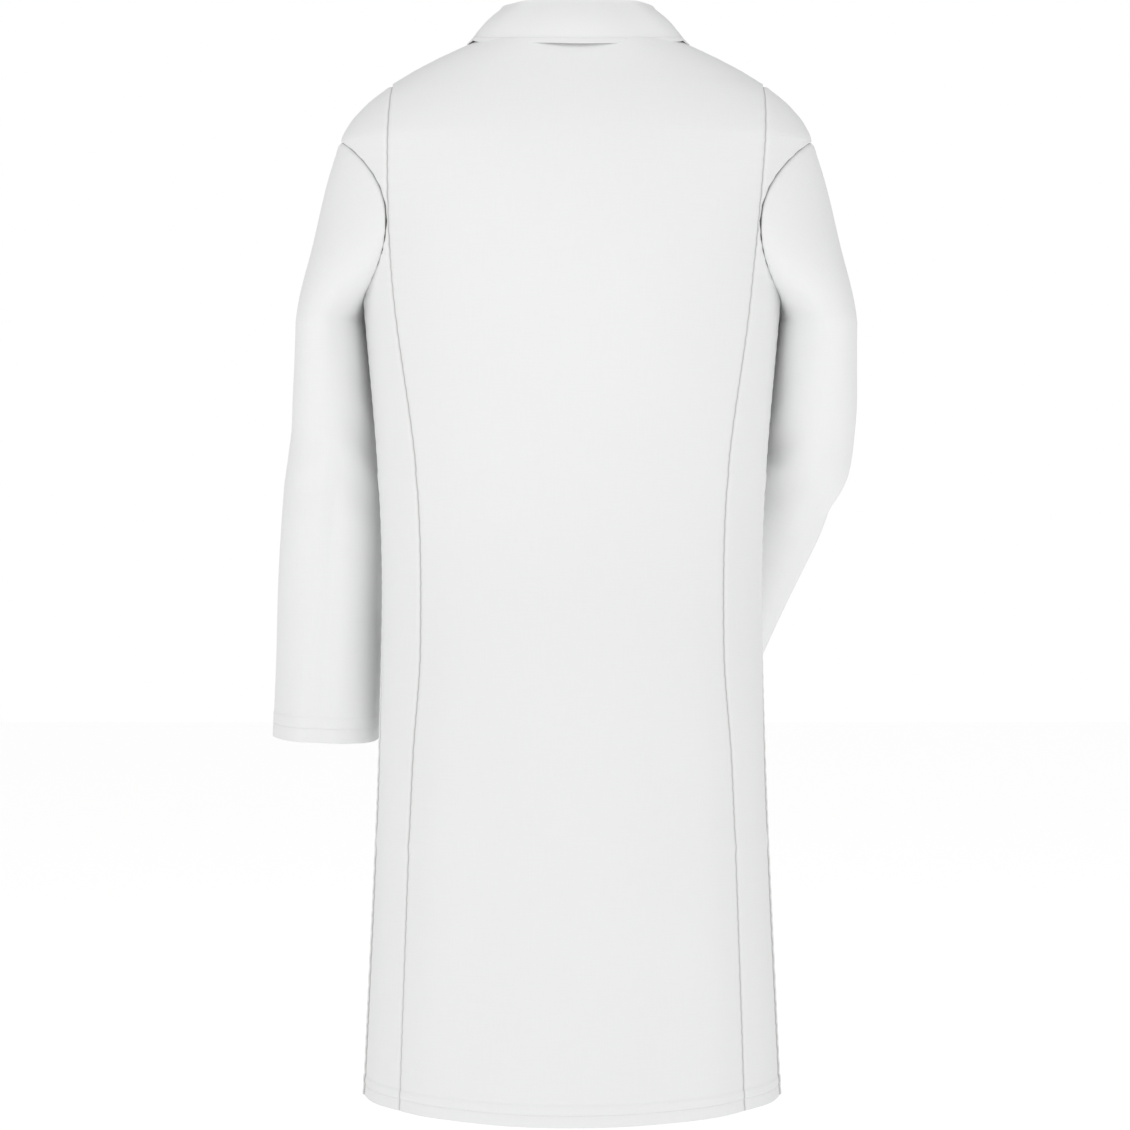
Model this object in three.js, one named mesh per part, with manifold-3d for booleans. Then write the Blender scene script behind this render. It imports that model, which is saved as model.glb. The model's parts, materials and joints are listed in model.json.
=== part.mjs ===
import * as THREE from 'three';
import { mergeVertices } from 'three/addons/utils/BufferGeometryUtils.js';
import Module from 'manifold-3d';

// A long white lab coat, hung with its back towards -Y and its centre-back neck seam at the origin.
// +Z is up and +X is the wearer's right. All sizes are in millimetres.

// ---- Driving dimensions: body ----
const COAT_LENGTH = 1015; // neck seam to hem, down the centre back
const CLOTH = 2; // two plies of cloth and the air between them
const SEAM_GAP = 0.5; // what two sewn edges keep between them
const NECK_HALF_WIDTH = 78;
const NECK_RISE = 14; // side of the neck above the centre-back neck seam
const NECK_SHIFT = 6; // how far the neck hangs to the wearer's right
const SHOULDER_HALF_WIDTH = 225;
const SHOULDER_DROP = 88; // shoulder point below the neck seam
const CHEST_DROP = 240;
const CHEST_HALF_WIDTH = 199;
const WAIST_DROP = 452;
const WAIST_HALF_WIDTH = 182.5;
const HIP_DROP = 662;
const HIP_HALF_WIDTH = 184.5;
const HEM_HALF_WIDTH = 199;
const CHEST_BACK_DEPTH = 114;
const CHEST_FRONT_DEPTH = 114;
const WAIST_BACK_DEPTH = 98;
const WAIST_FRONT_DEPTH = 101;
const HEM_BACK_DEPTH = 112;
const HEM_FRONT_DEPTH = 116;
const NAPE_DEPTH = 76;

// ---- Driving dimensions: armholes and sleeves ----
const ARMHOLE_HALF_HEIGHT = 74;
const ARMHOLE_HALF_DEPTH = 60;
const SLEEVE_CLEARANCE = 1.2; // between the armhole edge and the sleeve head
const SLEEVE_CAP_SWELL = 9;
const LEFT_SLEEVE_STAND = 34; // middle of the hanging sleeve, outside the chest's half width
const RIGHT_SLEEVE_STAND = 39;
const ELBOW_DROP = 390; // elbow crease below the neck seam
const ELBOW_LENGTH = 70; // the stretch of cloth that folds when the arm bends
const LEFT_CUFF_DROP = 672;
const FOREARM_LENGTH = 268; // right forearm, elbow to cuff edge

// ---- Driving dimensions: front, collar and pockets ----
const FRONT_SEAM_X = 78; // front princess seam from the centre line, below the break
const BREAK_DROP = 300; // where the lapels start to turn back
const OVERLAP = 22; // how far each front edge passes the centre line
const FACING_WIDTH = 60;
const FACING_PLY = 1.5;
const FACING_GAP = 0.3; // between a front and its facing, and between the two fronts
// How far the under front lies behind the over front and its facing.
const UNDER_DEPTH = CLOTH + FACING_PLY + 2 * FACING_GAP;
const LAPEL_WIDTH = 75;
const LAPEL_TOP_DROP = 48;
const NOTCH_DROP = 98;
const COLLAR_HEIGHT = 37; // fold of the collar above the neck seam
const COLLAR_EDGE_DROP = 4;
const COLLAR_HALF_WIDTH = 104;
const COLLAR_EDGE_DEPTH = 88;
const HIP_POCKET_DROP = 560;
const HIP_POCKET_HEIGHT = 185;
const POCKET_FULLNESS = 9; // how far a pocket's mouth stands open
const CHEST_POCKET_DROP = 212;
const CHEST_POCKET_HEIGHT = 112;
const CHEST_POCKET_WIDTH = 82;
const BUTTON_COUNT = 4;
const BUTTON_RADIUS = 9;
const BUTTON_THICKNESS = 3;
const BUTTON_SPACING = 115;
const FIRST_BUTTON_BELOW_BREAK = 50; // the cloth between them bends as a front opens
const BUTTONHOLE_CLEARANCE = 1.6;

const RIGHT = 1;
const LEFT = -1;
const TURN = Math.PI;
const { lerp, smoothstep, clamp } = THREE.MathUtils;

// ---- Smooth profiles down the body ----
function profile(stations) {
  const last = stations.length - 1;
  const slope = stations.map((_, i) => {
    const a = stations[Math.max(i - 1, 0)];
    const b = stations[Math.min(i + 1, last)];
    return (b[1] - a[1]) / (b[0] - a[0]);
  });
  return (drop) => {
    const d = clamp(drop, stations[0][0], stations[last][0]);
    const i = Math.min(stations.findLastIndex((s) => s[0] <= d), last - 1);
    const [d0, v0] = stations[i];
    const [d1, v1] = stations[i + 1];
    const span = d1 - d0;
    const t = (d - d0) / span;
    const t2 = t * t;
    const t3 = t2 * t;
    return (2 * t3 - 3 * t2 + 1) * v0 + (t3 - 2 * t2 + t) * span * slope[i]
      + (3 * t2 - 2 * t3) * v1 + (t3 - t2) * span * slope[i + 1];
  };
}

const SHOULDER_CURVE = 1.9;
const bodyHalfWidth = profile([
  [SHOULDER_DROP, SHOULDER_HALF_WIDTH], [SHOULDER_DROP + 62, CHEST_HALF_WIDTH + 9],
  [CHEST_DROP, CHEST_HALF_WIDTH], [WAIST_DROP, WAIST_HALF_WIDTH],
  [HIP_DROP, HIP_HALF_WIDTH], [COAT_LENGTH, HEM_HALF_WIDTH],
]);
const backDepth = profile([
  [-NECK_RISE, NAPE_DEPTH - 3], [0, NAPE_DEPTH], [SHOULDER_DROP, CHEST_BACK_DEPTH - 7],
  [CHEST_DROP - 60, CHEST_BACK_DEPTH + 1], [WAIST_DROP, WAIST_BACK_DEPTH],
  [HIP_DROP, HEM_BACK_DEPTH - 4], [COAT_LENGTH, HEM_BACK_DEPTH],
]);
const frontDepth = profile([
  [-NECK_RISE, NAPE_DEPTH - 16], [SHOULDER_DROP, CHEST_FRONT_DEPTH - 22],
  [CHEST_DROP, CHEST_FRONT_DEPTH], [WAIST_DROP, WAIST_FRONT_DEPTH],
  [HIP_DROP, HEM_FRONT_DEPTH - 6], [COAT_LENGTH, HEM_FRONT_DEPTH],
]);
const sway = (z) => NECK_SHIFT * smoothstep(z, -CHEST_DROP, 0);

function halfWidth(z) {
  if (z < -SHOULDER_DROP) return bodyHalfWidth(-z);
  const s = clamp((NECK_RISE - z) / (NECK_RISE + SHOULDER_DROP), 0, 1);
  const grown = 1 - (1 - s) ** SHOULDER_CURVE;
  return lerp(NECK_HALF_WIDTH, SHOULDER_HALF_WIDTH, grown);
}

// Height of the shoulder ridge at a distance from the centre line.
function ridgeHeight(x) {
  const grown = clamp((x - NECK_HALF_WIDTH) / (SHOULDER_HALF_WIDTH - NECK_HALF_WIDTH), 0, 1);
  const s = 1 - (1 - grown) ** (1 / SHOULDER_CURVE);
  return NECK_RISE - s * (NECK_RISE + SHOULDER_DROP);
}

// A point on the body: angle 0 is the centre back, 90 degrees the wearer's right side.
function body(angle, z) {
  const depth = Math.cos(angle) > 0 ? backDepth(-z) : frontDepth(-z);
  return new THREE.Vector3(
    sway(z) + halfWidth(z) * Math.sin(angle), -depth * Math.cos(angle), z);
}

function bodyNormal(angle, z) {
  const step = 0.01;
  const around = body(angle + step, z).sub(body(angle - step, z));
  const up = body(angle, z + 1).sub(body(angle, z - 1));
  return around.cross(up).normalize();
}

const onBody = (angle, z, stand) => body(angle, z).addScaledVector(bodyNormal(angle, z), stand);
const backAngle = (x, z) => Math.asin(clamp(x / halfWidth(z), -1, 1));
const frontAngle = (x, z) => TURN - backAngle(x, z);

// ---- Seams ----
const princessX = profile([
  [0, 176], [100, 177], [CHEST_DROP, 168], [WAIST_DROP - 40, 146], [WAIST_DROP + 120, 143],
  [HIP_DROP + 20, 151], [HIP_DROP + 260, 160], [COAT_LENGTH, 163],
]);
const frontSeamCurve = profile([
  [0, 176], [SHOULDER_DROP, 158], [CHEST_DROP - 70, 112], [BREAK_DROP, FRONT_SEAM_X],
  [BREAK_DROP + 60, FRONT_SEAM_X], [COAT_LENGTH, FRONT_SEAM_X],
]);
const frontSeamX = (drop) => Math.max(FRONT_SEAM_X, frontSeamCurve(drop));
const rollX = (z) => NECK_HALF_WIDTH * clamp((z + BREAK_DROP) / (NECK_RISE + BREAK_DROP), 0, 1);
const ARMHOLE_MIDDLE = -(SHOULDER_DROP + ARMHOLE_HALF_HEIGHT);

// Angle at which the side of the body gives way to the armhole, or the side seam.
function sideAngle(z) {
  const rise = (z - ARMHOLE_MIDDLE) / ARMHOLE_HALF_HEIGHT;
  const depth = ARMHOLE_HALF_DEPTH * Math.sqrt(Math.max(0, 1 - rise * rise));
  return { back: Math.acos(depth / backDepth(-z)), front: TURN - Math.acos(depth / frontDepth(-z)) };
}

// ---- Rows of points down the body, shared so that sewn edges match ----
const SHOULDER_ROWS = 6;
const ARMHOLE_ROWS = 12;
const SKIRT_ROW = 88;
const seamTop = ridgeHeight(princessX(0)) - 4;
function bodyRows(bottom, top) {
  const rows = [seamTop];
  for (let i = 0; i < SHOULDER_ROWS; i++) {
    rows.push(NECK_RISE - (NECK_RISE + SHOULDER_DROP) * (i / SHOULDER_ROWS));
  }
  for (let i = 0; i <= ARMHOLE_ROWS; i++) {
    rows.push(ARMHOLE_MIDDLE + ARMHOLE_HALF_HEIGHT * Math.cos((TURN * i) / ARMHOLE_ROWS));
  }
  const start = ARMHOLE_MIDDLE - ARMHOLE_HALF_HEIGHT;
  const skirt = COAT_LENGTH + start;
  const count = Math.ceil(skirt / SKIRT_ROW);
  for (let i = 1; i <= count; i++) rows.push(start - (skirt * i) / count);
  const margin = 2;
  const between = rows.filter((z) => z < top - margin && z > bottom + margin);
  const apart = between.filter((z) => z === seamTop || Math.abs(z - seamTop) > margin);
  return [bottom, ...apart.sort((a, b) => a - b), top];
}

// ---- Shape builders ----
const group = new THREE.Group();
const CLOTH_WHITE = 0xf1f3f2;
const finish = (color, roughness) => new THREE.MeshStandardMaterial({ color, roughness, metalness: 0 });
const clothFinish = finish(CLOTH_WHITE, 0.9);
const buttonFinish = finish(0xeeeeea, 0.35);

function add(name, geometry, material = clothFinish) {
  geometry.computeVertexNormals();
  const mesh = new THREE.Mesh(geometry, material);
  mesh.name = name;
  group.add(mesh);
  return mesh;
}

// A slab bent over a surface: place(u, v, w) gives the point for column u, row v and ply w, all 0 to 1.
function bentSlab(columns, rows, place) {
  const slab = new THREE.BoxGeometry(1, 1, 1, columns, rows, 1);
  const at = slab.attributes.position;
  for (let i = 0; i < at.count; i++) {
    const u = Math.round((at.getX(i) + 0.5) * columns) / columns;
    const v = Math.round((at.getY(i) + 0.5) * rows);
    const point = place(u, v, at.getZ(i) > 0 ? 1 : 0);
    at.setXYZ(i, point.x, point.y, point.z);
  }
  return slab;
}

// A body panel between two seams. from and to give the seam angles at a height.
function panel(columns, rows, from, to, { inner = 0, outer = CLOTH, height = (u, z) => z } = {}) {
  const ply = (stand, u, z) => (typeof stand === 'function' ? stand(u, z) : stand);
  return bentSlab(columns, rows.length - 1, (u, v, w) => {
    const level = rows[v];
    const z = height(u, level);
    const half = SEAM_GAP / 2 / Math.max(halfWidth(level), NECK_HALF_WIDTH);
    const angle = lerp(from(level) + half, to(level) - half, u);
    return onBody(angle, z, w ? ply(outer, u, z) : ply(inner, u, z));
  });
}

function mirrored(geometry) {
  const copy = geometry.clone();
  const at = copy.attributes.position;
  for (let i = 0; i < at.count; i++) {
    at.setX(i, 2 * sway(at.getZ(i)) - at.getX(i));
  }
  const index = copy.index;
  for (let i = 0; i < index.count; i += 3) {
    const first = index.getX(i);
    index.setX(i, index.getX(i + 1));
    index.setX(i + 1, first);
  }
  return copy;
}

function addPair(name, geometry) {
  add(`${name}_right`, geometry);
  add(`${name}_left`, mirrored(geometry));
}

// ---- Cutting, for the buttonholes ----
const wasm = await Module();
wasm.setup();

function solid(geometry) {
  const bare = geometry.clone();
  bare.deleteAttribute('normal');
  bare.deleteAttribute('uv');
  const merged = mergeVertices(bare, 1e-4);
  return new wasm.Manifold(new wasm.Mesh({
    numProp: 3,
    vertProperties: new Float32Array(merged.attributes.position.array),
    triVerts: new Uint32Array(merged.index.array),
  }));
}

function cut(geometry, cutters) {
  const left = cutters.reduce((rest, cutter) => rest.subtract(solid(cutter)), solid(geometry));
  const mesh = left.getMesh();
  const result = new THREE.BufferGeometry();
  result.setAttribute('position', new THREE.BufferAttribute(mesh.vertProperties, 3));
  result.setIndex(new THREE.BufferAttribute(mesh.triVerts, 1));
  return result;
}

// ---- Back and side panels ----
const HEM = -COAT_LENGTH;

function neckDip(u) {
  const across = Math.abs(2 * u - 1);
  return NECK_RISE * (1 - across ** 2.5);
}

const BACK_COLUMNS = 8;
add('back_panel', panel(BACK_COLUMNS, bodyRows(HEM, NECK_RISE),
  (z) => -backAngle(princessX(-z), z), (z) => backAngle(princessX(-z), z),
  { height: (u, z) => z - neckDip(u) * smoothstep(z, -SHOULDER_DROP / 2, NECK_RISE) }));

const SIDE_COLUMNS = 3;
addPair('side_back_panel', panel(SIDE_COLUMNS, bodyRows(HEM, seamTop),
  (z) => backAngle(princessX(-z), z), (z) => sideAngle(z).back));
addPair('side_front_panel', panel(SIDE_COLUMNS + 2, bodyRows(HEM, seamTop),
  (z) => sideAngle(z).front, (z) => frontAngle(frontSeamX(-z), z)));

// ---- Chest fronts, from the princess seam in to the fold of the lapel ----
const chestTop = NECK_RISE - 2;
addPair('chest_front', panel(SIDE_COLUMNS, bodyRows(-BREAK_DROP, chestTop),
  (z) => frontAngle(Math.min(frontSeamX(-z), halfWidth(z)), z), (z) => frontAngle(rollX(z), z)));

// ---- Fronts that open, with their facings ----
const frontTop = -(BREAK_DROP + 1);
const facingBottom = HEM + 12;
const edgeAngle = (x) => (z) => frontAngle(x, z);

function buttonHeight(i) {
  return -(BREAK_DROP + FIRST_BUTTON_BELOW_BREAK + BUTTON_SPACING * i);
}

const buttonRows = Array.from({ length: BUTTON_COUNT }, (_, i) => buttonHeight(i));
const holeSize = 2 * (BUTTON_RADIUS + BUTTONHOLE_CLEARANCE);
function buttonholes(height) {
  return buttonRows.map((z) => {
    const tool = new THREE.BoxGeometry(holeSize, 30, height);
    tool.translate(sway(z), body(TURN, z).y, z);
    return tool;
  });
}

const overFront = panel(6, bodyRows(HEM, frontTop), edgeAngle(FRONT_SEAM_X), edgeAngle(-OVERLAP));
const overFacing = panel(5, bodyRows(facingBottom, frontTop - 1),
  edgeAngle(FACING_WIDTH - OVERLAP), edgeAngle(-OVERLAP),
  { inner: -FACING_GAP - FACING_PLY, outer: -FACING_GAP });
add('front_right', cut(overFront, buttonholes(holeSize)));
add('front_facing_right', cut(overFacing, buttonholes(holeSize + 1)));

const tuck = (u) => -UNDER_DEPTH * smoothstep(u, 0, 0.35);
const underFront = panel(6, bodyRows(HEM, frontTop), edgeAngle(FRONT_SEAM_X), edgeAngle(-OVERLAP),
  { inner: (u) => tuck(u), outer: (u) => tuck(u) + CLOTH });
const underFacing = panel(5, bodyRows(facingBottom, frontTop - 1),
  edgeAngle(FACING_WIDTH - OVERLAP), edgeAngle(-OVERLAP),
  { inner: -UNDER_DEPTH - FACING_GAP - FACING_PLY, outer: -UNDER_DEPTH - FACING_GAP });
add('front_left', mirrored(underFront));
add('front_facing_left', mirrored(underFacing));

// ---- Buttons: a head in front of the over front, on a shank of thread from the under front ----
const SHANK_RADIUS = 1.6;
const HEAD_STAND = CLOTH + 1;
const shankStart = CLOTH - UNDER_DEPTH + 5 * FACING_GAP;
const buttonProfile = [
  [0, shankStart], [SHANK_RADIUS, shankStart], [SHANK_RADIUS, HEAD_STAND],
  [BUTTON_RADIUS - 1, HEAD_STAND], [BUTTON_RADIUS, HEAD_STAND + 1],
  [BUTTON_RADIUS, HEAD_STAND + BUTTON_THICKNESS - 0.6],
  [BUTTON_RADIUS - 1, HEAD_STAND + BUTTON_THICKNESS],
  [BUTTON_RADIUS - 3, HEAD_STAND + BUTTON_THICKNESS - 0.8], [0, HEAD_STAND + BUTTON_THICKNESS - 0.8],
].map(([r, y]) => new THREE.Vector2(r, y));
buttonRows.forEach((z, i) => {
  const button = add(`button_${i + 1}`, new THREE.LatheGeometry(buttonProfile, 20), buttonFinish);
  button.position.set(sway(z), body(TURN, z).y, z);
});

// ---- Lapels, folded back onto the chest along the roll line ----
const LAPEL_STAND = 0.7;
const LEAF_STAND = LAPEL_STAND + CLOTH + SEAM_GAP;
const lapelRows = 7;
const lapelWidth = (v) => 4 + (LAPEL_WIDTH - 4) * v ** 0.85;
addPair('lapel', bentSlab(4, lapelRows, (u, row, w) => {
  const v = row / lapelRows;
  const z = lerp(lerp(-BREAK_DROP, -LAPEL_TOP_DROP, v), lerp(-BREAK_DROP, -NOTCH_DROP, v), 1 - u);
  const x = rollX(z) + 2 + lapelWidth(v) * (1 - u);
  const stand = CLOTH + LAPEL_STAND + w * CLOTH;
  return onBody(frontAngle(x, z), z, stand);
}));

// ---- Collar: a stand round the back of the neck, a fall over it, and two leaves on the chest ----
const STAND_INSET = 4;
const STAND_PLY = 1.5;
const STAND_TOP_GAP = 3.5;
function neckRing(angle, halfX, depth, z) {
  return new THREE.Vector3(sway(0) + halfX * Math.sin(angle), -depth * Math.cos(angle), z);
}

function collarPly(halfAngle, columns, rows, lower, upper) {
  return bentSlab(columns, rows, (u, row, w) => {
    const angle = lerp(-halfAngle, halfAngle, u);
    const point = lower(angle).lerp(upper(angle), row / rows);
    const out = new THREE.Vector3(Math.sin(angle), -Math.cos(angle), 0);
    return point.addScaledVector(out, (w - 1) * STAND_PLY);
  });
}

const standHalfX = NECK_HALF_WIDTH - STAND_INSET;
const standDepth = NAPE_DEPTH - STAND_INSET;
add('collar_stand', collarPly(THREE.MathUtils.degToRad(84), 16, 2,
  (a) => neckRing(a, standHalfX, standDepth, 1 + NECK_RISE * Math.sin(a) ** 4),
  (a) => neckRing(a, standHalfX - 3, standDepth - 11, COLLAR_HEIGHT - STAND_TOP_GAP)));

const fallLower = (a) => neckRing(a, COLLAR_HALF_WIDTH, COLLAR_EDGE_DEPTH,
  -COLLAR_EDGE_DROP + 15 * Math.sin(a) ** 2);
const fallUpper = (a) => neckRing(a, standHalfX + 2, standDepth - 5, COLLAR_HEIGHT);
add('collar_fall', collarPly(THREE.MathUtils.degToRad(70), 14, 3, fallLower, fallUpper));

const leafRows = 5;
addPair('collar_leaf', bentSlab(4, leafRows, (u, row, w) => {
  const v = row / leafRows;
  const across = 1 - u;
  const gorgeZ = lerp(-LAPEL_TOP_DROP, -NOTCH_DROP, across) + 12;
  const gorgeX = rollX(gorgeZ) + 3 + (LAPEL_WIDTH - 18) * across;
  const ridgeX = lerp(NECK_HALF_WIDTH + 2, COLLAR_HALF_WIDTH, across);
  const z = lerp(gorgeZ, ridgeHeight(ridgeX) - 10, v);
  const x = Math.min(lerp(gorgeX, ridgeX, v), halfWidth(z) * 0.985);
  return onBody(frontAngle(x, z), z, CLOTH + LEAF_STAND + w * CLOTH);
}));

// ---- Neck facing and hanger loop, inside the back of the neck ----
const NECK_FACING_DROP = 62;
const NECK_FACING_HALF_ANGLE = 0.7;
const NECK_FACING_GAP = 3;
add('neck_facing', panel(6, bodyRows(-NECK_FACING_DROP, -4), () => -NECK_FACING_HALF_ANGLE,
  () => NECK_FACING_HALF_ANGLE, { inner: -NECK_FACING_GAP - FACING_PLY, outer: -NECK_FACING_GAP }));

const LOOP_HALF_SPAN = 24;
const LOOP_RISE = 20;
const LOOP_TAPE_WIDTH = 8;
const LOOP_PLY = 1.4;
add('hanger_loop', bentSlab(16, 1, (u, row, w) => {
  const angle = TURN * (1 - u);
  const scale = w ? 1 : 1 - LOOP_PLY / LOOP_RISE;
  return new THREE.Vector3(
    sway(0) + LOOP_HALF_SPAN * scale * Math.cos(angle),
    -(standDepth - 24) + LOOP_TAPE_WIDTH * row, 2 + LOOP_RISE * scale * Math.sin(angle));
}), clothFinish);

// ---- Patch pockets, open along the top ----
function pocket(columns, rows, bottom, top, from, to, fullness) {
  const swell = (u, v) => fullness * Math.sin(TURN * u) * (0.25 + 0.75 * v);
  return bentSlab(columns, rows, (u, row, w) => {
    const v = row / rows;
    const z = lerp(bottom, top, v);
    const corner = 0.06 * (1 - smoothstep(v, 0, 0.18));
    const across = lerp(corner, 1 - corner, u);
    const stand = CLOTH + SEAM_GAP + swell(u, v) + w * CLOTH;
    return onBody(lerp(from(z), to(z), across), z, stand);
  });
}

const HIP_POCKET_COLUMNS = 10; // fine enough to clear the tight curve at the side of the body
addPair('hip_pocket', pocket(HIP_POCKET_COLUMNS, 6, -(HIP_POCKET_DROP + HIP_POCKET_HEIGHT), -HIP_POCKET_DROP,
  () => THREE.MathUtils.degToRad(101), (z) => frontAngle(FRONT_SEAM_X + 5, z), POCKET_FULLNESS));
const chestPocketX = FRONT_SEAM_X + 4;
add('chest_pocket', mirrored(pocket(6, 4, -(CHEST_POCKET_DROP + CHEST_POCKET_HEIGHT),
  -CHEST_POCKET_DROP, (z) => frontAngle(chestPocketX + CHEST_POCKET_WIDTH, z),
  (z) => frontAngle(chestPocketX, z), POCKET_FULLNESS - 3)));

// ---- Sleeves: rings lofted from the armhole, through the elbow, to the cuff ----
const SLEEVE_SIDES = 24; // the same steps as the armhole rows

// The edge of the sleeve head, just inside the armhole. Angle 0 is the top and 90 degrees the back.
function sleeveHead(side, inset) {
  return (angle) => {
    const z = ARMHOLE_MIDDLE + (ARMHOLE_HALF_HEIGHT - inset) * Math.cos(angle);
    const depth = (ARMHOLE_HALF_DEPTH - inset) * Math.sin(angle);
    const limit = depth > 0 ? backDepth(-z) : frontDepth(-z);
    const x = halfWidth(z) * Math.sqrt(1 - (depth / limit) ** 2);
    const lean = lerp(3.2, 1, 0.5 + 0.5 * Math.cos(angle));
    return new THREE.Vector3(sway(z) + side * (x + lean), -depth, z);
  };
}

// An oval ring across the arm. yaw turns its front edge in towards the body.
function armRing(side, centre, down, halfOut, halfDeep, yaw) {
  const turn = THREE.MathUtils.degToRad(yaw);
  const along = down.clone().normalize();
  const back = new THREE.Vector3(side * Math.sin(turn), -Math.cos(turn), 0);
  back.addScaledVector(along, -back.dot(along)).normalize();
  const out = along.clone().cross(back).multiplyScalar(-side);
  return (angle, inset) => centre.clone()
    .addScaledVector(out, (halfOut - inset) * Math.cos(angle))
    .addScaledVector(back, (halfDeep - inset) * Math.sin(angle));
}

function loft(side, rings) {
  const sides = SLEEVE_SIDES;
  const points = [];
  const faces = [];
  for (const ply of [0, 1]) {
    for (const ring of rings) {
      for (let i = 0; i < sides; i++) points.push(...ring((2 * TURN * i) / sides, ply * CLOTH).toArray());
    }
  }
  const count = rings.length;
  const at = (ply, ring, i) => (ply * count + ring) * sides + (i % sides);
  const quad = (a, b, c, d) => (side > 0 ? faces.push(a, b, c, a, c, d) : faces.push(c, b, a, d, c, a));
  for (let i = 0; i < sides; i++) {
    for (let r = 0; r + 1 < count; r++) {
      quad(at(0, r, i), at(0, r, i + 1), at(0, r + 1, i + 1), at(0, r + 1, i));
      quad(at(1, r, i + 1), at(1, r, i), at(1, r + 1, i), at(1, r + 1, i + 1));
    }
    quad(at(1, 0, i), at(1, 0, i + 1), at(0, 0, i + 1), at(0, 0, i));
    quad(at(0, count - 1, i), at(0, count - 1, i + 1), at(1, count - 1, i + 1), at(1, count - 1, i));
  }
  const geometry = new THREE.BufferGeometry();
  geometry.setAttribute('position', new THREE.Float32BufferAttribute(points, 3));
  geometry.setIndex(faces);
  return geometry;
}

// Rings from the sleeve head to the first oval ring of the arm.
function capRings(side, first, count) {
  return Array.from({ length: count }, (_, k) => {
    const t = k / count;
    return (angle, inset) => {
      const point = sleeveHead(side, SLEEVE_CLEARANCE + inset)(angle).lerp(first(angle, inset), t);
      point.x += side * SLEEVE_CAP_SWELL * 4 * t * (1 - t) * (0.5 + 0.5 * Math.cos(angle));
      return point;
    };
  });
}

// Ovals between two arm stations, each [centre, halfOut, halfDeep, yaw].
function armRings(side, from, to, count, down) {
  return Array.from({ length: count + 1 }, (_, k) => {
    const t = k / count;
    const mix = (i) => lerp(from[i], to[i], t);
    return armRing(side, from[0].clone().lerp(to[0], t), down, mix(1), mix(2), mix(3));
  });
}

const CAP_BOTTOM = -(SHOULDER_DROP + 2 * ARMHOLE_HALF_HEIGHT + 26);
const elbowTop = -(ELBOW_DROP - ELBOW_LENGTH / 2);
const plumb = new THREE.Vector3(0, 0, -1);
const vec = (x, y, z) => new THREE.Vector3(x, y, z);

function sleeve(side, name, arm) {
  const { shoulder, upper, bend, fore, wrist } = arm;
  const first = armRing(side, shoulder[0], plumb, shoulder[1], shoulder[2], shoulder[3]);
  add(`sleeve_upper_${name}`, loft(side, [
    ...capRings(side, first, 5), ...armRings(side, shoulder, upper, 2, plumb)]));
  const down = wrist[0].clone().sub(fore[0]);
  const middle = plumb.clone().add(down.clone().normalize());
  const gapped = (station, way) => [station[0].clone().addScaledVector(way, 0.6), ...station.slice(1)];
  const top = gapped(upper, plumb);
  const low = gapped(fore, down.clone().normalize().negate());
  add(`sleeve_elbow_${name}`, loft(side, [
    armRing(side, top[0], plumb, ...top.slice(1)), armRing(side, bend[0], middle, ...bend.slice(1)),
    armRing(side, low[0], down, ...low.slice(1))]));
  add(`sleeve_fore_${name}`, loft(side, armRings(side, fore, wrist, 4, down)));
}

const leftX = -(CHEST_HALF_WIDTH + LEFT_SLEEVE_STAND);
sleeve(LEFT, 'left', {
  shoulder: [vec(leftX, 12, CAP_BOTTOM), 26, 66, 14],
  upper: [vec(leftX + 2, 30, elbowTop), 38, 61, 16],
  bend: [vec(leftX + 2, 37, -ELBOW_DROP), 43, 59, 16],
  fore: [vec(leftX + 1, 43, -ELBOW_DROP - ELBOW_LENGTH / 2), 46, 57, 16],
  wrist: [vec(leftX - 1, 60, -LEFT_CUFF_DROP), 50, 53, 10],
});

const rightX = CHEST_HALF_WIDTH + RIGHT_SLEEVE_STAND;
const elbowRight = vec(rightX - 13, 50, -ELBOW_DROP);
const forearm = vec(-99, 112, -226).normalize();
sleeve(RIGHT, 'right', {
  shoulder: [vec(rightX, 12, CAP_BOTTOM), 29, 66, 14],
  upper: [vec(rightX - 7, 36, elbowTop), 40, 60, 20],
  bend: [elbowRight, 42, 56, 30],
  fore: [elbowRight.clone().addScaledVector(forearm, ELBOW_LENGTH / 2), 42, 54, 36],
  wrist: [elbowRight.clone().addScaledVector(forearm, FOREARM_LENGTH), 40, 52, 52],
});

export default group;
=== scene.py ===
"""A long white lab coat with a notched collar, princess seams, patch pockets and four buttons.

The coat hangs with its back towards -Y and its centre-back neck seam at the origin. +X is the
wearer's right. Every size is in metres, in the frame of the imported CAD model.
"""

import json
import logging
import math
from dataclasses import dataclass
from enum import Enum
from typing import Callable, Optional, Sequence

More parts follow.
